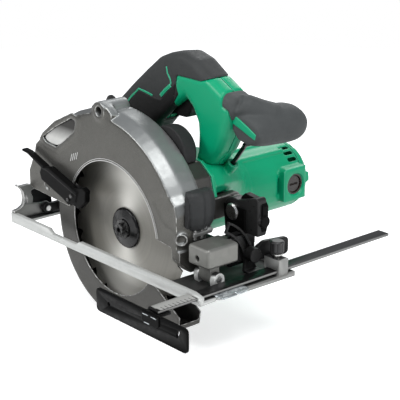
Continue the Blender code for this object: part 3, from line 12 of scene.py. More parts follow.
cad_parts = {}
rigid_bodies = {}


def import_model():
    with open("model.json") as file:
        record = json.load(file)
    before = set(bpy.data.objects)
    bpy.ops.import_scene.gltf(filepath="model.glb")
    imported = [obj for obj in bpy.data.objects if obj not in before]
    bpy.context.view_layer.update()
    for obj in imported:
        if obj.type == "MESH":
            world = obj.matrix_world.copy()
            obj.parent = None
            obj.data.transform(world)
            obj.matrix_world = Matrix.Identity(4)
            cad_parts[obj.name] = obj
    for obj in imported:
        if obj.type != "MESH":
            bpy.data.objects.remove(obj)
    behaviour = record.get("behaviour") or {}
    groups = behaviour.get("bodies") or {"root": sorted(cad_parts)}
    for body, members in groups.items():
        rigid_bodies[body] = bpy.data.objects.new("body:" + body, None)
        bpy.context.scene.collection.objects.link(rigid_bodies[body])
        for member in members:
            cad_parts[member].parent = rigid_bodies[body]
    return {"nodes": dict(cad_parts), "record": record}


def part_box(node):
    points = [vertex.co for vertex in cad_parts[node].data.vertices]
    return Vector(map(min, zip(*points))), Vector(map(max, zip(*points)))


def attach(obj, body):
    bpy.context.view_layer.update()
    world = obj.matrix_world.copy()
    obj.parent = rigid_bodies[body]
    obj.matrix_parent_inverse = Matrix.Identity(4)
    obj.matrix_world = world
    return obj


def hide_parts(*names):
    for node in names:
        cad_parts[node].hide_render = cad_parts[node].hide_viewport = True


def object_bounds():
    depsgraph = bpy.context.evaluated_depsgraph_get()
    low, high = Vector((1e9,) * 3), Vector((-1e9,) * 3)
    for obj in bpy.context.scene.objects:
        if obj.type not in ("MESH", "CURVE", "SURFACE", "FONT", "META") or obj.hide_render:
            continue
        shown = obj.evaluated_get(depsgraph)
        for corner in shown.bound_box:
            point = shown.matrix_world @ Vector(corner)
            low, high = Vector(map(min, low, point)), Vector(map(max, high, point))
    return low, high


for leftover in list(bpy.data.objects):
    bpy.data.objects.remove(leftover)

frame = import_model()
CAD_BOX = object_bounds()
NODES = frame["nodes"]
BODY_OF = {name: body for body, names in frame["record"]["behaviour"]["bodies"].items() for name in names}

AXIS = Vector((0.0, -0.056, 0.027))          # the blade's centre; its axis runs along Y
MOTOR = Vector((0.01407, 0.0, 0.04826))      # a point of the motor's axis, which runs along Y
BRUSH_Y = 0.143                              # the brush caps' place along the motor
PLANE_Y = AXIS.y                             # the blade's plane
GUARD_NEAR_Y = PLANE_Y - 0.0220              # near face of the upper guard
CREASE = radians(40)                         # an edge that turns by more stays sharp

CAMERA_PLACE = Vector((1.0100, -0.8340, 0.4787))
CAMERA_RIGHT = Vector((0.6578, 0.7532, 0))
CAMERA_UP = Vector((-0.2364, 0.2064, 0.9495))
CAMERA_BACK = Vector((0.7151, -0.6246, 0.3138))
LENS_MM, SENSOR_MM = 112.0, 36.0
LIGHTS = (                                   # name, place, target, size, power in watts
    ("key", (-0.55, -1.45, 1.10), (0.0, 0.0, 0.08), (0.7, 0.7), 17),
    ("top", (0.75, -0.45, 1.65), (0.0, 0.0, 0.1), (1.0, 0.9), 20),
    ("right", (1.55, 0.45, 0.60), (0.0, 0.0, 0.08), (0.6, 0.9), 8),
    ("back", (-0.7, 1.2, 1.0), (0.0, 0.0, 0.1), (0.8, 0.8), 8),
)


def shown(name, data):
    """A new object in the scene, from its mesh, lamp or camera."""
    piece = bpy.data.objects.new(name, data)
    bpy.context.scene.collection.objects.link(piece)
    return piece


# ---------------------------------------------------------------- camera, light and floor
def look(eye, right, up, back):
    """The camera, from its place and its three axes."""
    camera = bpy.data.cameras.new("camera")
    camera.lens = LENS_MM
    camera.sensor_width = SENSOR_MM
    camera.clip_start = 0.01
    holder = shown("camera", camera)
    holder.matrix_world = Matrix.Translation(eye) @ Matrix((right, up, back)).transposed().to_4x4()
    bpy.context.scene.camera = holder


def softbox(name, place, target, size, power):
    """A square lamp turned to a target."""
    lamp = bpy.data.lights.new(name, "AREA")
    lamp.shape = "RECTANGLE"
    lamp.size, lamp.size_y = size
    lamp.energy = power
    holder = shown(name, lamp)
    holder.location = place
    aim = Vector(target) - Vector(place)
    holder.rotation_euler = aim.to_track_quat("-Z", "Y").to_euler()


def seen_directly(tree):
    """1 where the background is seen by eye, in a mirror or through glass, else 0."""
    path = tree.nodes.new("ShaderNodeLightPath")
    total = path.outputs["Is Camera Ray"]
    for ray in ("Is Glossy Ray", "Is Transmission Ray"):
        add = tree.nodes.new("ShaderNodeMath")
        add.operation = "MAXIMUM"
        tree.links.new(total, add.inputs[0])
        tree.links.new(path.outputs[ray], add.inputs[1])
        total = add.outputs[0]
    return total


def studio():
    """Soft daylight all round, a white background and four softboxes."""
    scene = bpy.context.scene
    scene.view_settings.view_transform = "Standard"
    world = bpy.data.worlds.new("studio")
    scene.world = world
    world.use_nodes = True
    tree = world.node_tree
    tree.nodes.clear()
    out = tree.nodes.new("ShaderNodeOutputWorld")
    fill = tree.nodes.new("ShaderNodeBackground")
    fill.inputs["Color"].default_value = (0.86, 0.9, 0.96, 1)
    fill.inputs["Strength"].default_value = 0.36
    white = tree.nodes.new("ShaderNodeBackground")
    white.inputs["Color"].default_value = (1, 1, 1, 1)
    white.inputs["Strength"].default_value = 1.0
    mix = tree.nodes.new("ShaderNodeMixShader")
    path = tree.nodes.new("ShaderNodeLightPath")
    tree.links.new(path.outputs["Is Camera Ray"], mix.inputs[0])
    tree.links.new(fill.outputs[0], mix.inputs[1])
    tree.links.new(white.outputs[0], mix.inputs[2])
    tree.links.new(mix.outputs[0], out.inputs["Surface"])

    for light in LIGHTS:
        softbox(*light)


def floor():
    """A round sheet of pale paper just below the saw, which keeps its contact shadow."""
    low = CAD_BOX[0][2]
    sides = 64
    bm = bmesh.new()
    rows = [[bm.verts.new((x, y, 0)) for x, y in circle(radius, sides)] for radius in (0.5, 1.0, 1.5)]
    bm.faces.new(rows[0])
    for a, b in zip(rows, rows[1:]):
        for k in range(sides):
            bm.faces.new((a[k], b[k], b[(k + 1) % sides], a[(k + 1) % sides]))
    mesh = bpy.data.meshes.new("floor")
    bm.to_mesh(mesh)
    bm.free()
    ground = shown("floor", mesh)
    ground.location = (0, 0, low - 0.0005)
    material = bpy.data.materials.new("floor")
    material.use_nodes = True
    tree = material.node_tree
    tree.nodes.clear()
    out = tree.nodes.new("ShaderNodeOutputMaterial")
    paper = tree.nodes.new("ShaderNodeBsdfDiffuse")
    paper.inputs["Color"].default_value = (0.82, 0.82, 0.82, 1)
    glow = tree.nodes.new("ShaderNodeEmission")
    glow.inputs["Strength"].default_value = 0.55
    both = tree.nodes.new("ShaderNodeAddShader")
    pick = tree.nodes.new("ShaderNodeMixShader")
    tree.links.new(seen_directly(tree), pick.inputs[0])
    tree.links.new(paper.outputs[0], both.inputs[0])
    tree.links.new(glow.outputs[0], both.inputs[1])
    tree.links.new(paper.outputs[0], pick.inputs[1])
    tree.links.new(both.outputs[0], pick.inputs[2])
    tree.links.new(pick.outputs[0], out.inputs["Surface"])
    mesh.materials.append(material)


# ---------------------------------------------------------------- materials
class Shader:
    """A Principled material whose colour, roughness and bump come from procedural layers."""

    def __init__(self, name, roughness, metallic=0.0, **fixed):
        self.material = bpy.data.materials.new(name)
        self.material.use_nodes = True
        self.tree = self.material.node_tree
        self.surface = self.tree.nodes["Principled BSDF"]
        self.surface.inputs["Metallic"].default_value = metallic
        self.surface.inputs["Roughness"].default_value = roughness
        for socket, value in fixed.items():
            self.surface.inputs[socket.replace("_", " ")].default_value = value
        self.place = self.tree.nodes.new("ShaderNodeTexCoord").outputs["Object"]
        self.normal = None

    def node(self, kind, values=(), **settings):
        """A shader node with its sockets linked or set."""
        made = self.tree.nodes.new("ShaderNode" + kind)
        for key, value in settings.items():
            setattr(made, key, value)
        for key, value in dict(values).items():
            if hasattr(value, "is_output"):
                self.tree.links.new(value, made.inputs[key])
            else:
                made.inputs[key].default_value = value
        return made

    def math(self, operation, a, b=0.0):
        return self.node("Math", {0: a, 1: b}, operation=operation).outputs[0]

    def noise(self, size, stretch=(1, 1, 1), detail=3.0, rough=0.55):
        """Noise whose features are about `size` metres across, and longer where stretch is above 1."""
        scale = [1.0 / (size * s) for s in stretch]
        spot = self.node("Mapping", {"Vector": self.place, "Scale": scale}).outputs[0]
        return self.node("TexNoise", {"Vector": spot, "Scale": 1.0, "Detail": detail,
                                      "Roughness": rough}).outputs[0]

    def ramp(self, value, low, high, start=0.0, end=1.0):
        return self.node("MapRange", {"Value": value, "From Min": low, "From Max": high,
                                      "To Min": start, "To Max": end}).outputs[0]

    def mix(self, share, a, b):
        """Colour a where the share is 0, b where it is 1."""
        made = self.node("Mix", {0: share}, data_type="RGBA")
        for index, value in ((6, a), (7, b)):
            if hasattr(value, "is_output"):
                self.tree.links.new(value, made.inputs[index])
            else:
                made.inputs[index].default_value = (*value, 1)
        return made.outputs[2]

    def set(self, socket, value):
        self.tree.links.new(value, self.surface.inputs[socket])

    def bump(self, height, depth):
        values = {"Height": height, "Distance": depth, "Strength": 1.0}
        if self.normal is not None:
            values["Normal"] = self.normal
        self.normal = self.node("Bump", values).outputs[0]
        self.set("Normal", self.normal)

    def edges(self, width=0.03):
        """1 along outward edges, from the mesh's own curvature."""
        pointed = self.node("NewGeometry").outputs["Pointiness"]
        return self.ramp(pointed, 0.5 + width * 0.4, 0.5 + width)

    def rubbed(self, patch, low=0.35, high=0.6, most=1.0, width=0.03):
        """Edges that are rubbed bare in patches."""
        return self.math("MULTIPLY", self.edges(width), self.ramp(self.noise(patch), low, high, 0.0, most))

    def grained(self, patch, smoothest, roughest, grain, depth, detail=3.0):
        """Roughness that varies in patches, and a fine grain."""
        self.set("Roughness", self.ramp(self.noise(patch), 0.3, 0.7, smoothest, roughest))
        self.bump(self.noise(grain, detail=detail), depth)


def cast_paint():
    """Warm grey metallic paint over a die casting, with a painted highlight on the faces turned up, forward
    and towards the near side.
    """
    s = Shader("cast_paint", 0.4, 0.75)
    cloud = s.noise(0.03)
    fleck = s.noise(0.00035, detail=1.0)
    tone = s.mix(cloud, (0.080, 0.078, 0.070), (0.104, 0.102, 0.093))
    tone = s.mix(s.ramp(fleck, 0.55, 0.75, 0.0, 0.35), tone, (0.36, 0.35, 0.33))
    tone = s.mix(s.rubbed(0.006), tone, (0.50, 0.50, 0.48))
    # Painted highlight: faces turned up, forward and to the near side are mixed towards a pale grey.
    facing = s.node("VectorMath", {0: s.node("TexCoord").outputs["Normal"], 1: (0.48, -0.24, 0.84)},
                    operation="DOT_PRODUCT").outputs["Value"]
    tone = s.mix(s.ramp(facing, 0.58, 0.86, 0.0, 0.7), tone, (0.36, 0.375, 0.375))
    s.set("Base Color", tone)
    s.grained(0.004, 0.36, 0.46, 0.0011, 0.00003)
    return s.material


def dark_cast():
    """The darker grey finish of the gear case and the lower guard."""
    s = Shader("dark_cast", 0.45, 0.7)
    tone = s.mix(s.noise(0.02), (0.050, 0.049, 0.046), (0.078, 0.076, 0.070))
    s.set("Base Color", s.mix(s.rubbed(0.005), tone, (0.42, 0.42, 0.41)))
    s.grained(0.003, 0.38, 0.5, 0.0009, 0.00003)
    return s.material


def raw_cast():
    """Unpainted die-cast aluminium with a satin skin."""
    s = Shader("raw_cast", 0.42, 0.85)
    tone = s.mix(s.noise(0.012), (0.26, 0.26, 0.25), (0.36, 0.36, 0.35))
    s.set("Base Color", s.mix(s.edges(), tone, (0.62, 0.62, 0.61)))
    s.grained(0.003, 0.38, 0.52, 0.0008, 0.00005)
    return s.material


def machined_plate():
    """The sole: milled bright on its rims, painted dark on top, with painted shade darkening the rims beyond
    the blade's plane.
    """
    s = Shader("machined_plate", 0.5, 0.25)
    streak = s.noise(0.0004, (60, 1, 1), 2.0)
    bright = s.mix(streak, (0.50, 0.51, 0.495), (0.60, 0.61, 0.59))
    bright = s.mix(s.ramp(s.noise(0.02), 0.45, 0.75, 0.0, 0.4), bright, (0.42, 0.425, 0.41))
    up = s.node("SeparateXYZ", {0: s.node("TexCoord").outputs["Normal"]}).outputs["Z"]
    spot = s.node("SeparateXYZ", {0: s.place})
    inside = s.ramp(spot.outputs["Y"], PLANE_Y - 0.0370, PLANE_Y - 0.0366)
    behind = s.ramp(spot.outputs["X"], 0.1665, 0.1655)
    # Painted shade: the rims beyond the blade's plane, on the motor side, are darkened towards a deep grey.
    far = s.ramp(spot.outputs["Y"], PLANE_Y + 0.0100, PLANE_Y + 0.0200)
    bright = s.mix(s.math("MULTIPLY", far, 0.8), bright, (0.20, 0.20, 0.19))
    top = s.math("MULTIPLY", s.math("MULTIPLY", s.ramp(up, 0.55, 0.8), inside), behind)
    paint = s.mix(s.noise(0.004), (0.020, 0.020, 0.020), (0.038, 0.038, 0.036))
    s.set("Base Color", s.mix(top, bright, paint))
    s.set("Roughness", s.ramp(s.math("ADD", streak, top), 0.3, 1.5, 0.42, 0.55))
    s.bump(streak, 0.00002)
    return s.material


def black_paint(name="black_paint", colour=(0.012, 0.012, 0.012), rough=0.32, fleck=0.5, shine=0.16):
    """Baked black enamel on pressed steel, rubbed bright along its edges."""
    s = Shader(name, rough, 0.0)
    s.surface.inputs["Specular IOR Level"].default_value = shine
    tone = s.mix(s.noise(0.01), colour, [c * 1.8 for c in colour])
    s.set("Base Color", s.mix(s.rubbed(0.004, 0.4, 0.62, fleck, 0.06), tone, (0.30, 0.30, 0.29)))
    s.grained(0.006, rough - 0.06, rough + 0.1, 0.0007, 0.00002)
    return s.material


def bright_steel():
    """Turned bright steel of pins, bolts and shafts."""
    s = Shader("bright_steel", 0.28, 1.0)
    streak = s.noise(0.0004, detail=2.0)
    s.set("Base Color", s.mix(streak, (0.50, 0.50, 0.49), (0.66, 0.66, 0.65)))
    s.set("Roughness", s.ramp(streak, 0.3, 0.7, 0.21, 0.38))
    s.bump(streak, 0.00001)
    return s.material


def zinc_plate():
    """Bright zinc with its crystalline mottling."""
    s = Shader("zinc_plate", 0.2, 0.6)
    cell = s.node("Mapping", {"Vector": s.place, "Scale": (260, 260, 260)}).outputs[0]
    crystal = s.node("TexVoronoi", {"Vector": cell, "Scale": 1.0, "Randomness": 1.0})
    shade = s.node("SeparateColor", {0: crystal.outputs["Color"]}).outputs[0]
    s.set("Base Color", s.mix(shade, (0.34, 0.37, 0.385), (0.62, 0.655, 0.67)))
    s.set("Roughness", s.ramp(shade, 0, 1, 0.08, 0.34))
    s.bump(s.noise(0.006), 0.00035)
    return s.material


def blade_steel():
    """Ground blade steel: fine rings about the axis, and a painted highlight in two bright wedges along a
    near-upright line through the axis.
    """
    s = Shader("blade_steel", 0.34, 0.25)
    s.surface.inputs["Anisotropic"].default_value = 0.5
    out = s.node("VectorMath", {0: s.place, 1: tuple(AXIS)}, operation="SUBTRACT").outputs[0]
    flat = s.node("VectorMath", {0: out, 1: (1, 0, 1)}, operation="MULTIPLY").outputs[0]
    radius = s.node("VectorMath", {0: flat}, operation="LENGTH").outputs["Value"]
    around = s.node("VectorMath", {0: (0, 1, 0), 1: flat}, operation="CROSS_PRODUCT").outputs[0]
    s.set("Tangent", s.node("VectorMath", {0: around}, operation="NORMALIZE").outputs[0])
    lathe = s.node("CombineXYZ", {0: s.math("MULTIPLY", radius, 5200.0)}).outputs[0]
    ring = s.node("TexNoise", {"Vector": lathe, "Scale": 1.0, "Detail": 2.0}).outputs[0]
    broad = s.node("CombineXYZ", {0: s.math("MULTIPLY", radius, 260.0)}).outputs[0]
    belt = s.node("TexNoise", {"Vector": broad, "Scale": 1.0, "Detail": 1.0}).outputs[0]
    tone = s.mix(ring, (0.165, 0.158, 0.137), (0.225, 0.217, 0.191))
    tone = s.mix(s.ramp(belt, 0.35, 0.7, 0.0, 0.3), tone, (0.13, 0.126, 0.112))
    # Painted highlight: two bright wedges along a near-upright line through the axis, fixed in the blade's
    # colour.
    lay = s.node("VectorMath", {0: s.node("VectorMath", {0: flat}, operation="NORMALIZE").outputs[0],
                                1: (0.10, 0.0, 0.995)}, operation="DOT_PRODUCT").outputs["Value"]
    painted_highlight_wedge = s.math("POWER", s.math("ABSOLUTE", lay), 7.0)
    tone = s.mix(s.math("MULTIPLY", painted_highlight_wedge, 0.9), tone, (0.64, 0.63, 0.585))
    s.set("Base Color", tone)
    s.set("Roughness", s.ramp(ring, 0.3, 0.7, 0.32, 0.42))
    s.bump(ring, 0.000008)
    return s.material


def shell_green():
    """Satin moulded green plastic with the faint grain of its mould."""
    s = Shader("shell_green", 0.34, 0.0, Specular_IOR_Level=0.3)
    tone = s.mix(s.noise(0.05), (0.000, 0.290, 0.135), (0.000, 0.335, 0.160))
    s.set("Base Color", s.mix(s.math("MULTIPLY", s.edges(0.04), 0.35), tone, (0.12, 0.52, 0.36)))
    s.grained(0.004, 0.32, 0.42, 0.0005, 0.000018, 1.0)
    return s.material


def soft_skin(name, low, high, rough=0.62, grain=0.0006, depth=0.00005, shine=0.16):
    """Rubber or matt plastic with a fine pebbled skin, paler where hands have rubbed its edges."""
    s = Shader(name, rough, 0.0, Specular_IOR_Level=shine)
    tone = s.mix(s.noise(0.02), low, high)
    tone = s.mix(s.math("MULTIPLY", s.edges(0.05), 0.35), tone, [min(c * 2.2, 0.4) for c in high])
    s.set("Base Color", tone)
    s.grained(0.003, rough - 0.06, rough + 0.1, grain, depth, 2.0)
    return s.material


def zoned(name, first, second, axis, border, soft=0.0004):
    """Two finishes, each (colour, roughness, metallic), which meet at a border along an axis."""
    s = Shader(name, 0.5, 0.0)
    along = s.node("SeparateXYZ", {0: s.place}).outputs[axis]
    share = s.ramp(along, border - soft, border + soft)
    tones = []
    for colour, _, _ in (first, second):
        darker, paler = [c * 0.82 for c in colour], [min(c * 1.15, 1.0) for c in colour]
        tones.append(s.mix(s.noise(0.008), darker, paler))
    tone = s.mix(share, *tones)
    tone = s.mix(s.math("MULTIPLY", s.edges(0.05), 0.5), tone, (0.42, 0.42, 0.41))
    s.set("Base Color", tone)
    s.set("Roughness", s.ramp(share, 0, 1, first[1], second[1]))
    s.set("Metallic", s.ramp(share, 0, 1, first[2], second[2]))
    s.bump(s.noise(0.0008), 0.00004)
    return s.material


def ruled_bar():
    """The guide bar: black, with bright sheared edges and a pale scale with plain ticks near its plate."""
    s = Shader("ruled_bar", 0.36, 0.0, Specular_IOR_Level=0.12)
    facing = s.node("SeparateXYZ", {0: s.node("TexCoord").outputs["Normal"]})
    spot = s.node("SeparateXYZ", {0: s.place})
    up = s.ramp(facing.outputs["Z"], 0.7, 0.9)
    near = s.math("MULTIPLY", s.ramp(spot.outputs["Y"], -0.1460, -0.1458),
                  s.ramp(spot.outputs["Y"], -0.0988, -0.0990))
    step = s.math("FRACT", s.math("MULTIPLY", spot.outputs["Y"], 200.0))
    tick = s.math("MULTIPLY", s.ramp(step, 0.80, 0.84), s.ramp(spot.outputs["X"], 0.1580, 0.1582))
    tone = s.mix(s.noise(0.01), (0.005, 0.005, 0.005), (0.010, 0.010, 0.010))
    pale = s.mix(tick, (0.36, 0.36, 0.345), (0.02, 0.02, 0.02))
    tone = s.mix(s.math("MULTIPLY", up, near), tone, pale)
    side = s.ramp(s.math("ABSOLUTE", facing.outputs["X"]), 0.8, 0.95)
    tone = s.mix(s.math("MULTIPLY", side, 0.8), tone, (0.34, 0.34, 0.33))
    s.set("Base Color", tone)
    s.bump(s.noise(0.0007), 0.00002)
    return s.material


def copper_winding():
    """Enamelled copper wire, laid side by side."""
    s = Shader("copper_winding", 0.35, 1.0)
    wire = s.noise(0.0007, (1, 40, 1), 1.0)
    s.set("Base Color", s.mix(wire, (0.35, 0.14, 0.06), (0.72, 0.38, 0.20)))
    s.bump(wire, 0.0002)
    return s.material


def carbon_block():
    """Pressed carbon of the brushes."""
    s = Shader("carbon_block", 0.6, 0.1)
    s.set("Base Color", s.mix(s.noise(0.0008), (0.010, 0.010, 0.011), (0.035, 0.034, 0.034)))
    s.bump(s.noise(0.0003), 0.00003)
    return s.material


def clear_lens():
    """Clear plastic of the lamp."""
    s = Shader("clear_lens", 0.08, 0.0, Transmission_Weight=0.9, IOR=1.49)
    s.set("Base Color", s.mix(s.noise(0.002), (0.86, 0.90, 0.90), (0.97, 0.98, 0.98)))
    s.bump(s.noise(0.0009), 0.00001)
    return s.material


MATERIALS = {
    "cast_paint": cast_paint(),
    "dark_cast": dark_cast(),
    "raw_cast": raw_cast(),
    "machined": machined_plate(),
    "black_paint": black_paint(),
    "black_gloss": black_paint("black_gloss", (0.004, 0.004, 0.004), 0.2, 0.25, 0.3),
    "black_flat": black_paint("black_flat", (0.003, 0.003, 0.003), 0.34, 0.0, 0.04),
    "steel": bright_steel(),
    "zinc": zinc_plate(),
    "blade": blade_steel(),
    "green": shell_green(),
    "black_plastic": soft_skin("black_plastic", (0.007, 0.007, 0.007), (0.013, 0.013, 0.013), 0.4, 0.0005,
                               0.00002),
    "brown_plastic": soft_skin("brown_plastic", (0.012, 0.008, 0.007), (0.022, 0.015, 0.013), 0.25, 0.0005,
                               0.00001, 0.5),
    "sleeve": soft_skin("sleeve", (0.034, 0.036, 0.036), (0.048, 0.050, 0.050), 0.56),
    "sleeve_dark": soft_skin("sleeve_dark", (0.010, 0.010, 0.010), (0.017, 0.017, 0.017), 0.5, 0.0009,
                             0.00012),
    "grey_rubber": soft_skin("grey_rubber", (0.052, 0.056, 0.057), (0.074, 0.079, 0.079), 0.6),
    "dark_rubber": soft_skin("dark_rubber", (0.016, 0.016, 0.017), (0.028, 0.028, 0.028), 0.55),
    "mid_rubber": soft_skin("mid_rubber", (0.026, 0.027, 0.028), (0.040, 0.042, 0.042), 0.45),
    # The dish's two zones are painted light: pale below the border as a painted highlight, near black above
    # it as painted shade.
    "dish": zoned("dish", ((0.52, 0.52, 0.50), 0.34, 0.7), ((0.022, 0.021, 0.019), 0.4, 0.5), "Z", 0.1190,
                  0.0085),
    "ruled_bar": ruled_bar(),
    "hinge_two_tone": zoned("hinge_two_tone", ((0.215, 0.215, 0.20), 0.48, 0.7),
                            ((0.010, 0.010, 0.010), 0.4, 0.0), "Y", PLANE_Y + 0.030),
    "knob_two_tone": zoned("knob_two_tone", ((0.55, 0.55, 0.53), 0.3, 1.0),
                           ((0.014, 0.014, 0.014), 0.42, 0.0), "Z", 0.0245),
    "copper": copper_winding(),
    "carbon": carbon_block(),
    "clear": clear_lens(),
}

FINISH = {                       # node: material, where it isn't the slot's own
    "upper_guard": "cast_paint", "gear_cover": "dark_cast", "lower_guard": "dark_cast",
    "hinge_bracket": "hinge_two_tone", "rear_bracket": "raw_cast", "light_bracket": "raw_cast",
    "base_plate": "machined", "saw_blade": "blade", "grip_sleeve": "sleeve", "fence_knob": "knob_two_tone",
    "front_cap": "mid_rubber", "dust_elbow": "dark_rubber", "outer_flange": "black_gloss",
    "blade_bolt": "black_gloss", "fence_bar": "ruled_bar", "fence_plate": "black_flat",
    "brush_cap_front": "brown_plastic", "brush_cap_rear": "brown_plastic", "hex_key": "black_gloss",
    "guard_lever": "black_gloss",
}
SLOT_FINISH = {"cast_grey": "cast_paint", "bright_cast": "raw_cast", "black_steel": "black_paint",
               "steel": "steel", "zinc": "zinc", "green_shell": "green", "black_plastic": "black_plastic",
               "grey_rubber": "grey_rubber", "copper": "copper", "carbon": "carbon", "clear": "clear"}
SLOT_OF = {row["node"]: row["material_slot"] for row in frame["record"]["subparts"]}


def finish_of(name):
    """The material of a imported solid: its own, or its slot's."""
    return MATERIALS[FINISH.get(name, SLOT_FINISH[SLOT_OF[name]])]


# ---------------------------------------------------------------- shapes
def in_axes(axis, a, b, along):
    """A point from two coordinates across an axis and one along it."""
    if axis == "X":
        return Vector((along, a, b))
    if axis == "Y":
        return Vector((a, along, b))
    return Vector((a, b, along))


def circle(radius, sides):
    """Points of a circle round the origin."""
    return [(radius * cos(2 * pi * k / sides), radius * sin(2 * pi * k / sides)) for k in range(sides)]


def arc(centre, radius, start, end, steps):
    """Points of an arc between two angles in degrees."""
    angles = [radians(start + (end - start) * k / steps) for k in range(steps + 1)]
    return [(centre[0] + radius * cos(angle), centre[1] + radius * sin(angle)) for angle in angles]


def shrunk(outline, middle, share_a, share_b):
    """An outline drawn in towards a point, by a share across and a share along."""
    return [(middle[0] + (a - middle[0]) * share_a, middle[1] + (b - middle[1]) * share_b)
            for a, b in outline]


def solid(name, rings):
    """A closed body through rings of equally many points, capped at both ends."""
    bm = bmesh.new()
    rows = [[bm.verts.new(point) for point in ring] for ring in rings]
    count = len(rows[0])
    for low, high in zip(rows, rows[1:]):
        for k in range(count):
            bm.faces.new((low[k], low[(k + 1) % count], high[(k + 1) % count], high[k]))
    bm.faces.new(rows[0][::-1])
    bm.faces.new(rows[-1])
    bmesh.ops.recalc_face_normals(bm, faces=bm.faces)
    mesh = bpy.data.meshes.new(name)
    bm.to_mesh(mesh)
    bm.free()
    return shown(name, mesh)


def prism(name, axis, outline, span):
    """An outline drawn out along an axis."""
    return solid(name, [[in_axes(axis, a, b, along) for a, b in outline] for along in span])


def rod(name, axis, centre, radius, span, sides=48, end_radius=None):
    """A round bar or cone along an axis."""
    radii = (radius, radius if end_radius is None else end_radius)
    return solid(name, [[in_axes(axis, centre[0] + a, centre[1] + b, along) for a, b in circle(r, sides)]
                        for r, along in zip(radii, span)])


def bar(name, start, end, radius, sides=32, end_radius=None):
    """A round bar or cone between two points."""
    start, end = Vector(start), Vector(end)
    turn = (end - start).to_track_quat("Z", "Y").to_matrix()
    radii = (radius, radius if end_radius is None else end_radius)
    return solid(name, [[place + turn @ Vector((a, b, 0)) for a, b in circle(r, sides)]
                        for place, r in zip((start, end), radii)])


def dressed(piece, material, body, replaces=()):
    """Gives a piece its finish and its body, and hides the imported solids that it replaces."""
    piece.data.materials.clear()
    piece.data.materials.append(MATERIALS[material])
    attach(piece, body)
    if replaces:
        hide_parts(*replaces)
    return piece


def creased(piece):
    """Smooth round its curves, sharp at its edges."""
    piece.data.shade_smooth()
    piece.data.set_sharp_from_angle(angle=CREASE)


def less(piece, *cutters):
    """A closed body with other closed bodies cut out of it."""
    for cutter in cutters:
        cut = piece.modifiers.new("cut", "BOOLEAN")
        cut.operation = "DIFFERENCE"
        cut.solver = "EXACT"
        cut.object = cutter
    evaluated(piece)
    for cutter in cutters:
        bpy.data.objects.remove(cutter)
    return piece


def gather(piece, others):
    """Adds other closed bodies to a piece; the remesh that follows melts them into one skin."""
    bm = bmesh.new()
    bm.from_mesh(piece.data)
    for other in others:
        bm.from_mesh(other.data)
        bpy.data.objects.remove(other)
    bm.to_mesh(piece.data)
    bm.free()


def moulded(name, parts, voxel, cap, passes, material, body, replaces=()):
    """Several closed bodies melted into one softly rounded piece."""
    piece = parts[0]
    piece.name = name
    gather(piece, parts[1:])
    melt(piece, voxel, cap, passes)
    return dressed(piece, material, body, replaces)


def melt(piece, voxel, cap, passes):
    """Remeshes a piece in cells of one size, then rounds its edges by no more than the cap."""
    remesh = piece.modifiers.new("remesh", "REMESH")
    remesh.mode = "VOXEL"
    remesh.voxel_size = voxel
    evaluated(piece)
    relax(piece, passes, cap)
    piece.data.shade_smooth()


def inlay(name, outline, targets, rise, material, body, side=-1, cell=0.0008):
    """A thin skin in the outline's shape, laid on the pieces behind it from one side along Y."""
    bm = bmesh.new()
    face = bm.faces.new([bm.verts.new((a, 0, b)) for a, b in outline])
    bmesh.ops.triangulate(bm, faces=[face])
    halvings = 7
    for _ in range(halvings):
        long_edges = [e for e in bm.edges if e.calc_length() > cell * 2.2]
        if not long_edges:
            break
        bmesh.ops.subdivide_edges(bm, edges=long_edges, cuts=1)
        bmesh.ops.triangulate(bm, faces=bm.faces)
    trees = []
    for target in targets:
        trees.append(BVHTree.FromPolygons([v.co for v in target.data.vertices],
                                          [p.vertices for p in target.data.polygons]))
    for vertex in list(bm.verts):
        start = Vector((vertex.co.x, side * 0.4, vertex.co.z))
        hits = [hit for hit in (tree.ray_cast(start, Vector((0, -side, 0)))[0] for tree in trees) if hit]
        if not hits:
            bm.verts.remove(vertex)
            continue
        vertex.co.y = min(hits, key=lambda hit: (hit - start).length).y
    bmesh.ops.recalc_face_normals(bm, faces=bm.faces)
    mesh = bpy.data.meshes.new(name)
    bm.to_mesh(mesh)
    bm.free()
    piece = shown(name, mesh)
    thick = piece.modifiers.new("thick", "SOLIDIFY")
    thick.thickness = rise * 2
    thick.offset = 0
    evaluated(piece)
    piece.data.shade_smooth()
    return dressed(piece, material, body)


def ribbon(points, width):
    """The outline of a strip of one width along a line of points."""
    left, right = [], []
    for i, point in enumerate(points):
        before = Vector(points[max(i - 1, 0)])
        after = Vector(points[min(i + 1, len(points) - 1)])
        normal = Vector((before.y - after.y, after.x - before.x)).normalized() * width / 2
        left.append((point[0] + normal.x, point[1] + normal.y))
        right.append((point[0] - normal.x, point[1] - normal.y))
    return left + right[::-1]


# ---------------------------------------------------------------- rounded copies of the frame's solids
def welded(name):
    """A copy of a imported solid's mesh, its corners joined again."""
    mesh = NODES[name].data.copy()
    bm = bmesh.new()
    bm.from_mesh(mesh)
    bmesh.ops.remove_doubles(bm, verts=bm.verts, dist=0.000002)
    bm.to_mesh(mesh)
    bm.free()
    mesh.name = name + "_form"
    return mesh


def evaluated(piece):
    """The piece's mesh with its modifiers applied, which are then removed."""
    bpy.context.view_layer.update()
    graph = bpy.context.evaluated_depsgraph_get()
    mesh = bpy.data.meshes.new_from_object(piece.evaluated_get(graph))
    piece.modifiers.clear()
    piece.data = mesh
    return mesh


def positions(mesh):
    """The mesh's points as rows of three numbers."""
    table = np.empty(len(mesh.vertices) * 3, dtype=np.float32)
    mesh.vertices.foreach_get("co", table)
    return table.reshape(-1, 3)


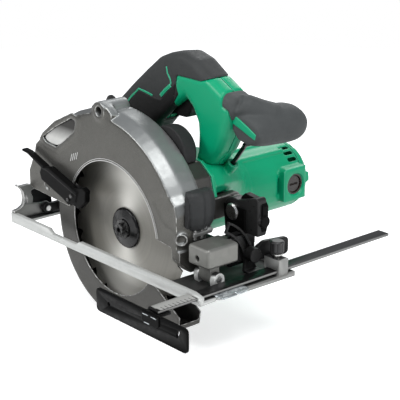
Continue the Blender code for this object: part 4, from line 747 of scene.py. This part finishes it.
def relax(piece, passes, cap):
    """Smooths the skin, but moves no point further than the cap, so edges round off and facets fade."""
    before = positions(piece.data)
    smooth = piece.modifiers.new("smooth", "SMOOTH")
    smooth.factor = 0.5
    smooth.iterations = passes
    mesh = evaluated(piece)
    moved = positions(mesh) - before
    length = np.linalg.norm(moved, axis=1, keepdims=True)
    moved *= np.minimum(1.0, cap / np.maximum(length, 1e-9))
    mesh.vertices.foreach_set("co", (before + moved).ravel())
    mesh.update()


def stands_for(piece, name):
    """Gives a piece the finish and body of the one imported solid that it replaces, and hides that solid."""
    piece.data.materials.clear()
    piece.data.materials.append(finish_of(name))
    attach(piece, BODY_OF[name])
    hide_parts(name)
    return piece


def rounded(name, voxel, cap, passes, cutters=(), added=()):
    """A finely meshed, softly rounded stand-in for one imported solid, first cut and then added to."""
    piece = shown(name + "_skin", welded(name))
    if cutters:
        less(piece, *cutters)
    gather(piece, added)
    melt(piece, voxel, cap, passes)
    return stands_for(piece, name)


ROUNDED = {                      # node: voxel, cap, passes
    "gear_cover": (0.0008, 0.0005, 30),
    "tail_cover": (0.0005, 0.0004, 30),
    "handle_near_half": (0.0007, 0.0006, 60),
    "handle_far_half": (0.0007, 0.0006, 60),
    "grip_sleeve": (0.0007, 0.0006, 60),
    "dust_elbow": (0.0005, 0.0004, 40),
    "hinge_bracket": (0.0005, 0.0006, 30),
    "pivot_arm": (0.0004, 0.0003, 20),
    "lower_guard": (0.0007, 0.0004, 60),
    "bevel_lever": (0.0004, 0.0004, 30),
    "fence_knob": (0.0003, 0.0003, 20),
    "depth_lock_lever": (0.0004, 0.0004, 30),
    "depth_link": (0.0005, 0.0003, 30),
    "bevel_quadrant": (0.0004, 0.0003, 20),
    "trigger": (0.0004, 0.0004, 30),
    "outer_flange": (0.0003, 0.0002, 30),
    "hex_key": (0.0003, 0.0002, 20),
    "cord_gland": (0.0004, 0.0003, 30),
    "brush_cap_front": (0.0003, 0.0002, 20),
    "brush_cap_rear": (0.0003, 0.0002, 20),
}


def guard_front():
    """What the upper guard's cast front adds: its apron down to the sole and the eye of the front hinge."""
    apron = prism("apron", "X", [(PLANE_Y - 0.0212, 0.0340), (PLANE_Y - 0.0210, 0.0230),
                                 (PLANE_Y - 0.0098, 0.0118), (PLANE_Y - 0.0060, 0.0088),
                                 (PLANE_Y + 0.0120, 0.0088), (PLANE_Y + 0.0120, 0.0340)], (0.1000, 0.1120))
    eye_z = 0.0470
    hub = less(bar("hub", (0.1060, PLANE_Y - 0.0143, eye_z), (0.1125, PLANE_Y - 0.0186, eye_z), 0.0066),
               bar("bore", (0.1085, PLANE_Y - 0.0160, eye_z), (0.1155, PLANE_Y - 0.0206, eye_z), 0.0047))
    return [apron, hub]


def upper_guard():
    """The upper guard: boss faired into the crown, bordered chip recess, stepped front panel and apron."""
    near = GUARD_NEAR_Y
    window_span = (near - 0.003, near + 0.004)
    fairing = prism("fairing", "Y", [(-0.034, 0.150), (-0.0315, 0.1600), (-0.0240, 0.1656), (-0.0130, 0.1664),
                                     (-0.0040, 0.1625), (0.0040, 0.1560), (0.0020, 0.150)],
                    (near + 0.0004, near + 0.0105))
    border = prism("border", "Y", [(-0.131, 0.104), (-0.120, 0.0965), (-0.096, 0.0945), (-0.058, 0.121),
                                   (-0.051, 0.142), (-0.066, 0.1465), (-0.100, 0.1305), (-0.125, 0.1120)],
                   (near - 0.0010, near + 0.0010))
    opening = [(-0.124, 0.107), (-0.118, 0.103), (-0.098, 0.101), (-0.064, 0.125), (-0.060, 0.138),
               (-0.068, 0.139), (-0.097, 0.124)]
    window = prism("window", "Y", opening, window_span)
    border = less(border, prism("border_window", "Y", opening, window_span))
    panel = prism("panel", "Y", [(0.0712, 0.0783), (0.0806, 0.0884), (0.0962, 0.0899), (0.1033, 0.0836),
                                 (0.1059, 0.0702), (0.1068, 0.0560), (0.0952, 0.0570), (0.0871, 0.0596),
                                 (0.0793, 0.0687)], (near - 0.0021, near + 0.0007))
    apron, hub = guard_front()
    eye = (-0.1180, 0.0520)
    eye_hole = rod("eye_hole", "Y", eye, 0.0060, (near - 0.0021, near + 0.0017))
    eye_ring = less(rod("eye_ring", "Y", eye, 0.0074, (near - 0.0007, near + 0.0012)),
                    rod("ring_hole", "Y", eye, 0.0061, (near - 0.0021, near + 0.0023)))
    boss = (-0.017, 0.157)
    fairing = less(fairing, rod("boss_bore", "Y", boss, 0.0047, (near - 0.004, near + 0.020)),
                   rod("boss_sink", "Y", boss, 0.0078, (near - 0.0021, near + 0.0022), 48, 0.0050))
    rounded("upper_guard", 0.0007, 0.0004, 60, (window, panel, eye_hole),
            (fairing, border, apron, hub, eye_ring))


def chip_recess():
    """The dish behind the guard's rear opening, pale low down as a painted highlight and dark higher up as
    painted shade.
    """
    rim = [(-0.1255, 0.1072), (-0.1185, 0.1018), (-0.0975, 0.0997), (-0.0800, 0.1120), (-0.0627, 0.1245),
           (-0.0586, 0.1390), (-0.0680, 0.1404), (-0.0820, 0.1335), (-0.0975, 0.1254), (-0.1120, 0.1160)]
    middle = (-0.0880, 0.1195)
    steps = ((1.0, 0.0008), (0.97, 0.0014), (0.93, 0.0036), (0.84, 0.0056), (0.66, 0.0068), (0.4, 0.0074),
             (0.1, 0.0076), (0.1, 0.0088), (0.8, 0.0088), (1.0, 0.0088), (1.0, 0.0018))
    dish = solid("chip_recess", [[(a, GUARD_NEAR_Y + depth, b) for a, b in shrunk(rim, middle, share, share)]
                                 for share, depth in steps])
    soften = dish.modifiers.new("soften", "SUBSURF")
    soften.levels = soften.render_levels = 2
    evaluated(dish)
    dish.data.shade_smooth()
    dressed(dish, "dish", "saw_head")


def guard_marks():
    """Four small slanted ribs on the guard's face and the two bright lips round its opening."""
    near = GUARD_NEAR_Y
    for k in range(4):
        x = -0.0715 + 0.0036 * k
        z = 0.0905 + 0.0014 * k
        tick = prism("guard_tick_%d" % (k + 1), "Y",
                     ribbon([(x, z), (x + 0.0028, z + 0.0085)], 0.0009), (near - 0.0004, near + 0.0003))
        dressed(tick, "raw_cast", "saw_head")
    centre = (AXIS.x, AXIS.z)
    for number, (inner, outer, rise) in enumerate(((0.0776, 0.0783, 0.0006), (0.0797, 0.0802, 0.0004))):
        outline = arc(centre, outer, 10, 171, 90) + arc(centre, inner, 171, 10, 90)
        lip = prism("guard_lip_%d" % (number + 1), "Y", outline, (near - rise, near + 0.0003))
        creased(lip)
        dressed(lip, "raw_cast", "saw_head")


def on_barrel(angle, reach):
    """A point round the motor's axis, at an angle in degrees and a distance."""
    return MOTOR.x + reach * cos(radians(angle)), MOTOR.z + reach * sin(radians(angle))


def key_bar(name, angle, half, low, high, span):
    """A bar along the motor between two distances from its axis, with a slight crown."""
    a, b = angle - half, angle + half
    outline = [on_barrel(a, low), on_barrel(a, high), on_barrel((a + b) / 2, high + 0.0004),
               on_barrel(b, high), on_barrel(b, low)]
    return prism(name, "Y", outline, span)


def cap_seats(face, sign):
    """The deep seat and the wider mouth that a brush cap needs in its boss."""
    deep = tuple(sorted((face + sign * 0.002, face - sign * 0.0155)))
    mouth = tuple(sorted((face + sign * 0.002, face - sign * 0.0032)))
    return [rod("cap_seat", "X", (BRUSH_Y, MOTOR.z), 0.0112, deep),
            rod("cap_mouth", "X", (BRUSH_Y, MOTOR.z), 0.0130, mouth)]


def motor_housing():
    """The motor housing with its long ribs, square brush bosses and vents."""
    front, rear = 0.0590, -0.0272
    front_boss = prism("front_boss", "X", [(0.1236, 0.0305), (0.1236, 0.0665), (0.1270, 0.0690),
                                           (0.1585, 0.0690), (0.1588, 0.0300), (0.1260, 0.0290)],
                       (0.0440, front))
    rear_boss = prism("rear_boss", "X", [(0.1300, 0.0335), (0.1300, 0.0630), (0.1585, 0.0630),
                                         (0.1585, 0.0335)], (rear, -0.0140))
    added = [less(front_boss, *cap_seats(front, 1)), less(rear_boss, *cap_seats(rear, -1)),
             key_bar("rib", 60, 4, 0.036, 0.0425, (0.060, 0.1440)),
             key_bar("low_rib", 92, 4, 0.036, 0.0418, (0.070, 0.1440))]
    cutters = cap_seats(front, 1) + cap_seats(rear, -1)
    cutters.append(prism("boss_notch", "Z", [(0.0560, 0.1150), (0.0600, 0.1150), (0.0600, 0.1236),
                                             (0.0490, 0.1236)], (0.0335, 0.0625)))
    for k in range(4):
        for first_angle, start in ((28, 0.1445), (222, 0.1405)):
            cutters.append(key_bar("vent", first_angle + 13 * k, 3.2, 0.030, 0.0450, (start, 0.1575)))
    rounded("motor_housing", 0.0008, 0.0005, 60, cutters, added)


def brush_rings():
    """The threaded collars that the two brush caps are screwed into."""
    centre = (BRUSH_Y, MOTOR.z)
    for name, span in (("brush_ring_front", (0.0530, 0.0561)), ("brush_ring_rear", (-0.0243, -0.0215))):
        ring = less(rod(name, "X", centre, 0.0123, span),
                    rod("hole", "X", centre, 0.0104, (span[0] - 0.001, span[1] + 0.001)))
        creased(ring)
        dressed(ring, "brown_plastic", "saw_head")


def fence_tab():
    """The pressed tab that grips the guide bar on the fence plate, with three bright sheared slits."""
    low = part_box("fence_plate")[0][1]
    tab = prism("fence_tab", "Y", [(0.1440, 0.0040), (0.1440, -0.0055), (0.1470, -0.0085), (0.1675, -0.0085),
                                   (0.1705, -0.0055), (0.1705, 0.0040)], (low - 0.0014, low + 0.0008))
    moulded("fence_tab", [tab], 0.0003, 0.0003, 20, "black_flat", "fence")
    for number, (x, z) in enumerate(((0.1465, 0.0016), (0.1590, 0.0016), (0.1485, -0.0068))):
        slit = prism("fence_slit_%d" % (number + 1), "Y", ribbon([(x, z), (x + 0.0080, z)], 0.0007),
                     (low - 0.0017, low - 0.0010))
        dressed(slit, "zinc", "fence")


def end_lug():
    """The small lug beside the front brush boss."""
    lug = prism("end_lug", "X", [(0.1590, 0.0440), (0.1600, 0.0600), (0.1665, 0.0580), (0.1675, 0.0480)],
                (0.0360, 0.0555))
    moulded("end_lug", [lug], 0.0005, 0.0006, 20, "green", "saw_head")


def front_grip():
    """The front grip: a saddle carries its rubber down into the tongue over the handle's front."""
    saddle = bar("saddle", (0.1125, 0.0015, 0.1765), (0.1265, 0.0340, 0.1570), 0.0105, 32, 0.0185)
    brow = bar("brow", (0.1160, 0.0060, 0.1755), (0.1290, 0.0300, 0.1610), 0.0115, 32, 0.0150)
    oval = [(0.1060, 0.1610), (0.1160, 0.1650), (0.1300, 0.1630), (0.1440, 0.1560), (0.1470, 0.1480),
            (0.1400, 0.1390), (0.1280, 0.1365), (0.1140, 0.1395), (0.1060, 0.1490)]
    collar = prism("collar", "Y", oval, (-0.0020, 0.0180))
    pocket = prism("pocket", "Y", shrunk(oval, (0.1265, 0.1505), 0.86, 0.82), (-0.0040, 0.0010))
    rounded("front_grip", 0.0006, 0.0016, 120, (pocket,), (saddle, brow, collar))
    strip = prism("grip_bar", "Y", [(0.1065, 0.1560), (0.1075, 0.1625), (0.1130, 0.1640), (0.1290, 0.1570),
                                    (0.1425, 0.1500), (0.1410, 0.1440), (0.1240, 0.1500)], (-0.0030, 0.0030))
    moulded("grip_bar", [strip], 0.0004, 0.0005, 30, "green", "saw_head")
    lens = prism("grip_lens", "Y", [(0.1080, 0.1535), (0.1240, 0.1480), (0.1395, 0.1425), (0.1360, 0.1392),
                                    (0.1270, 0.1378), (0.1150, 0.1405), (0.1090, 0.1460)], (-0.0012, 0.0030))
    moulded("grip_lens", [lens], 0.0004, 0.0008, 60, "mid_rubber", "saw_head")


def front_cap():
    """The rubber-faced cap on the guard's nose: two lobes round a ridge, a dark cheek and two small ribs."""
    levels = (                   # height, share of the full section, set back
        (0.0545, 0.30, 0.0050), (0.0570, 0.55, 0.0025), (0.0620, 0.78, 0.0010), (0.0700, 0.93, 0.0),
        (0.0800, 1.0, 0.0), (0.0880, 0.97, 0.0006), (0.0930, 0.84, 0.0024), (0.0958, 0.62, 0.0050))
    section = ((0.1100, -0.0130), (0.1165, -0.0138), (0.1205, -0.0112), (0.1238, -0.0040), (0.1246, 0.0005),
               (0.1236, 0.0040), (0.1240, 0.0110), (0.1220, 0.0180), (0.1170, 0.0222), (0.1100, 0.0225))
    back_x, middle_y = 0.1100, 0.0045
    rings = []
    for z, share, back in levels:
        lean = (0.0800 - z) * 0.12
        rings.append([(back_x + (a - back_x) * (0.55 + 0.45 * share) - back * 0.5 + lean * 0.2,
                       PLANE_Y + middle_y + (b - middle_y) * (0.45 + 0.55 * share), z) for a, b in section])
    body = solid("front_cap_skin", rings)
    ribs = [prism("rib", "Y", [(0.1100, 0.0560), (0.1160, 0.0550), (0.1150, 0.0440), (0.1100, 0.0440)],
                  (start, start + 0.0030)) for start in (PLANE_Y - 0.0040, PLANE_Y + 0.0050)]
    moulded("front_cap_skin", [body], 0.0004, 0.0006, 40, "mid_rubber", "saw_head",
            ("front_cap",))
    cheek = prism("cap_cheek", "Y", [(0.1125, 0.0600), (0.1160, 0.0585), (0.1186, 0.0700), (0.1180, 0.0860),
                                     (0.1150, 0.0915), (0.1125, 0.0920)],
                  (PLANE_Y - 0.0146, PLANE_Y - 0.0110))
    moulded("cap_cheek", [cheek], 0.0003, 0.0004, 20, "dark_rubber", "saw_head")
    for number, rib in enumerate(ribs):
        moulded("cap_rib_%d" % (number + 1), [rib], 0.0003, 0.0003, 20, "raw_cast", "saw_head")


def guard_lever():
    """The lower guard's lever: a flat black bar, a thin bent thumb wing and the block that carries both."""
    wing = prism("wing", "Y", [(-0.1520, 0.0895), (-0.1400, 0.0885), (-0.1080, 0.0780), (-0.1060, 0.0750),
                               (-0.1110, 0.0735), (-0.1420, 0.0855), (-0.1525, 0.0865)],
                 (PLANE_Y - 0.0330, PLANE_Y - 0.0251))
    blade = prism("blade", "Y", [(-0.1140, 0.0765), (-0.0995, 0.0790), (-0.0460, 0.0622), (-0.0500, 0.0500),
                                 (-0.0640, 0.0435), (-0.0760, 0.0490), (-0.1150, 0.0610), (-0.1180, 0.0690)],
                  (PLANE_Y - 0.0330, PLANE_Y - 0.0290))
    spine = prism("spine", "Y", [(-0.1120, 0.0755), (-0.0995, 0.0790), (-0.0460, 0.0622), (-0.0480, 0.0585),
                                 (-0.1020, 0.0745)], (PLANE_Y - 0.0338, PLANE_Y - 0.0251))
    block = prism("block", "Y", [(-0.0560, 0.0640), (-0.0380, 0.0690), (-0.0320, 0.0660), (-0.0335, 0.0535),
                                 (-0.0460, 0.0430), (-0.0600, 0.0460)], (PLANE_Y - 0.0320, PLANE_Y - 0.0251))
    moulded("guard_lever_skin", [blade, wing, spine, block], 0.0004, 0.0005, 30, "black_flat",
            "lower_guard_body", ("guard_lever",))


def lever_foot():
    """The foot that ties the lever to the lower guard, and its two rivets."""
    foot = prism("lever_foot", "Y", [(-0.0700, 0.0640), (-0.0560, 0.0640), (-0.0560, 0.0480),
                                     (-0.0700, 0.0480)], (PLANE_Y - 0.0250, PLANE_Y - 0.0192))
    moulded("lever_foot", [foot], 0.0004, 0.0004, 20, "black_paint", "lower_guard_body")
    for number, (x, z) in enumerate(((-0.0575, 0.0555), (-0.0635, 0.0500))):
        rivet = rod("lever_rivet_%d" % (number + 1), "Y", (x, z), 0.0022,
                    (PLANE_Y - 0.0342, PLANE_Y - 0.0325), 32, 0.0026)
        creased(rivet)
        dressed(rivet, "black_gloss", "lower_guard_body")


def from_plane(points):
    """An outline across X whose first coordinate is measured from the blade's plane."""
    return [(PLANE_Y + y, z) for y, z in points]


def rear_bracket():
    """The rear casting: its thick S-shaped rim with a hooked top, and the web that holds the pivot, black as
    painted shade inside the rim.
    """
    piece = shown("rear_bracket_skin", welded("rear_bracket"))
    rim = prism("rim", "X", from_plane([
        (-0.0430, 0.0038), (-0.0425, 0.0129), (-0.0360, 0.0145), (-0.0284, 0.0172), (-0.0246, 0.0210),
        (-0.0239, 0.0248), (-0.0260, 0.0300), (-0.0297, 0.0351), (-0.0335, 0.0400), (-0.0330, 0.0425),
        (-0.0215, 0.0428), (-0.0140, 0.0405), (-0.0079, 0.0378), (-0.0085, 0.0345), (-0.0175, 0.0352),
        (-0.0185, 0.0310), (-0.0160, 0.0260), (-0.0165, 0.0200), (-0.0205, 0.0135), (-0.0270, 0.0095),
        (-0.0330, 0.0078), (-0.0340, 0.0038)]), (-0.1642, -0.1586))
    moulded("rear_bracket_skin", [piece, rim], 0.0004, 0.0004, 30, "raw_cast", "base",
            ("rear_bracket",))
    # Painted shade: the web inside the rim is given black paint, standing in for the shade that fills it.
    web = prism("rear_web", "X", from_plane([
        (-0.0300, 0.0036), (-0.0200, 0.0140), (-0.0160, 0.0220), (-0.0180, 0.0330), (-0.0080, 0.0360),
        (0.0060, 0.0270), (0.0110, 0.0200), (0.0120, 0.0036)]), (-0.1630, -0.1605))
    moulded("rear_web", [web], 0.0004, 0.0005, 20, "black_paint", "base")


def arm_skirt():
    """The tilting frame's black plates and block between the depth pivot and the front hinge."""
    plate = prism("arm_skirt", "Y", [(0.1000, 0.0700), (0.1330, 0.0700), (0.1330, 0.0330), (0.1200, 0.0280),
                                     (0.1035, 0.0300)], (PLANE_Y + 0.0490, PLANE_Y + 0.0507))
    moulded("arm_skirt", [plate], 0.0004, 0.0003, 20, "black_flat", "tilt_frame")
    face = [(0.0160, 0.0450), (0.0620, 0.0450), (0.0620, 0.0330), (0.0500, 0.0120), (0.0290, 0.0120),
            (0.0160, 0.0200)]
    cheek = prism("arm_cheek", "X", from_plane(face), (0.1308, 0.1328))
    moulded("arm_cheek", [cheek], 0.0004, 0.0003, 20, "black_flat", "tilt_frame")
    block = [(0.1190, 0.0560), (0.1190, 0.0790), (0.1250, 0.0845), (0.1480, 0.0815), (0.1522, 0.0760),
             (0.1522, 0.0560), (0.1490, 0.0448), (0.1332, 0.0446), (0.1328, 0.0310), (0.1290, 0.0310),
             (0.1290, 0.0520)]
    lump = prism("arm_block", "Y", block, (PLANE_Y + 0.0560, PLANE_Y + 0.0640))
    boss = rod("arm_boss", "X", (PLANE_Y + 0.0580, 0.0600), 0.0062, (0.1480, 0.1545))
    moulded("arm_block", [lump, boss], 0.0004, 0.0004, 20, "black_flat", "tilt_frame")


def handle_trim(skins):
    """Green inlays and the darker panel on both cheeks of the handle."""
    panel = [(-0.0328, 0.1665), (-0.0104, 0.1630), (0.0035, 0.1625), (0.0195, 0.1775), (0.0280, 0.1850),
             (0.0330, 0.1740), (0.0205, 0.1585), (-0.0040, 0.1375), (-0.0180, 0.1240), (-0.0400, 0.1230),
             (-0.0560, 0.1350), (-0.0560, 0.1480)]
    strokes = (                  # name, width, line
        ("corner", 0.0022, [(-0.0570, 0.1470), (-0.0475, 0.1565), (-0.0335, 0.1680), (-0.0225, 0.1668),
                            (-0.0104, 0.1648)]),
        ("rise", 0.0016, [(0.0140, 0.2005), (0.0156, 0.1936), (0.0205, 0.1870), (0.0212, 0.1822)]),
        ("step", 0.0040, [(0.0205, 0.1812), (0.0120, 0.1745), (0.0035, 0.1668)]))
    for side, label in ((-1, "near"), (1, "far")):
        inlay("handle_panel_" + label, panel, skins, 0.0003, "sleeve_dark", "saw_head", side)
        for stroke, width, line in strokes:
            inlay("handle_%s_%s" % (stroke, label), ribbon(line, width), skins, 0.0006, "green",
                  "saw_head", side)


def sharp_copies():
    """Flat pressed and milled pieces keep their planes and get a fine broken edge."""
    for name in ("base_plate", "fence_plate", "fence_bar", "sight_plate", "light_bracket"):
        piece = shown(name + "_skin", welded(name))
        bm = bmesh.new()
        bm.from_mesh(piece.data)
        bmesh.ops.dissolve_limit(bm, angle_limit=radians(0.5), verts=bm.verts, edges=bm.edges)
        bm.to_mesh(piece.data)
        bm.free()
        edge = piece.modifiers.new("edge", "BEVEL")
        edge.width = 0.0004
        edge.segments = 2
        edge.limit_method = "ANGLE"
        edge.angle_limit = radians(30)
        edge.harden_normals = True
        evaluated(piece)
        creased(piece)
        stands_for(piece, name)


def plain_nodes():
    """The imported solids' own materials, which show where no piece replaces a solid."""
    for name, node in NODES.items():
        node.data.materials.clear()
        node.data.materials.append(finish_of(name))
        node.data.shade_smooth()
        node.data.set_sharp_from_angle(angle=radians(28))


look(CAMERA_PLACE, CAMERA_RIGHT, CAMERA_UP, CAMERA_BACK)
studio()
floor()

skins = {part_name: rounded(part_name, *how) for part_name, how in ROUNDED.items()}
upper_guard()
chip_recess()
guard_marks()
motor_housing()
brush_rings()
fence_tab()
end_lug()
front_grip()
front_cap()
guard_lever()
lever_foot()
rear_bracket()
arm_skirt()
handle_trim([skins["grip_sleeve"], skins["handle_near_half"], skins["handle_far_half"]])
sharp_copies()
plain_nodes()
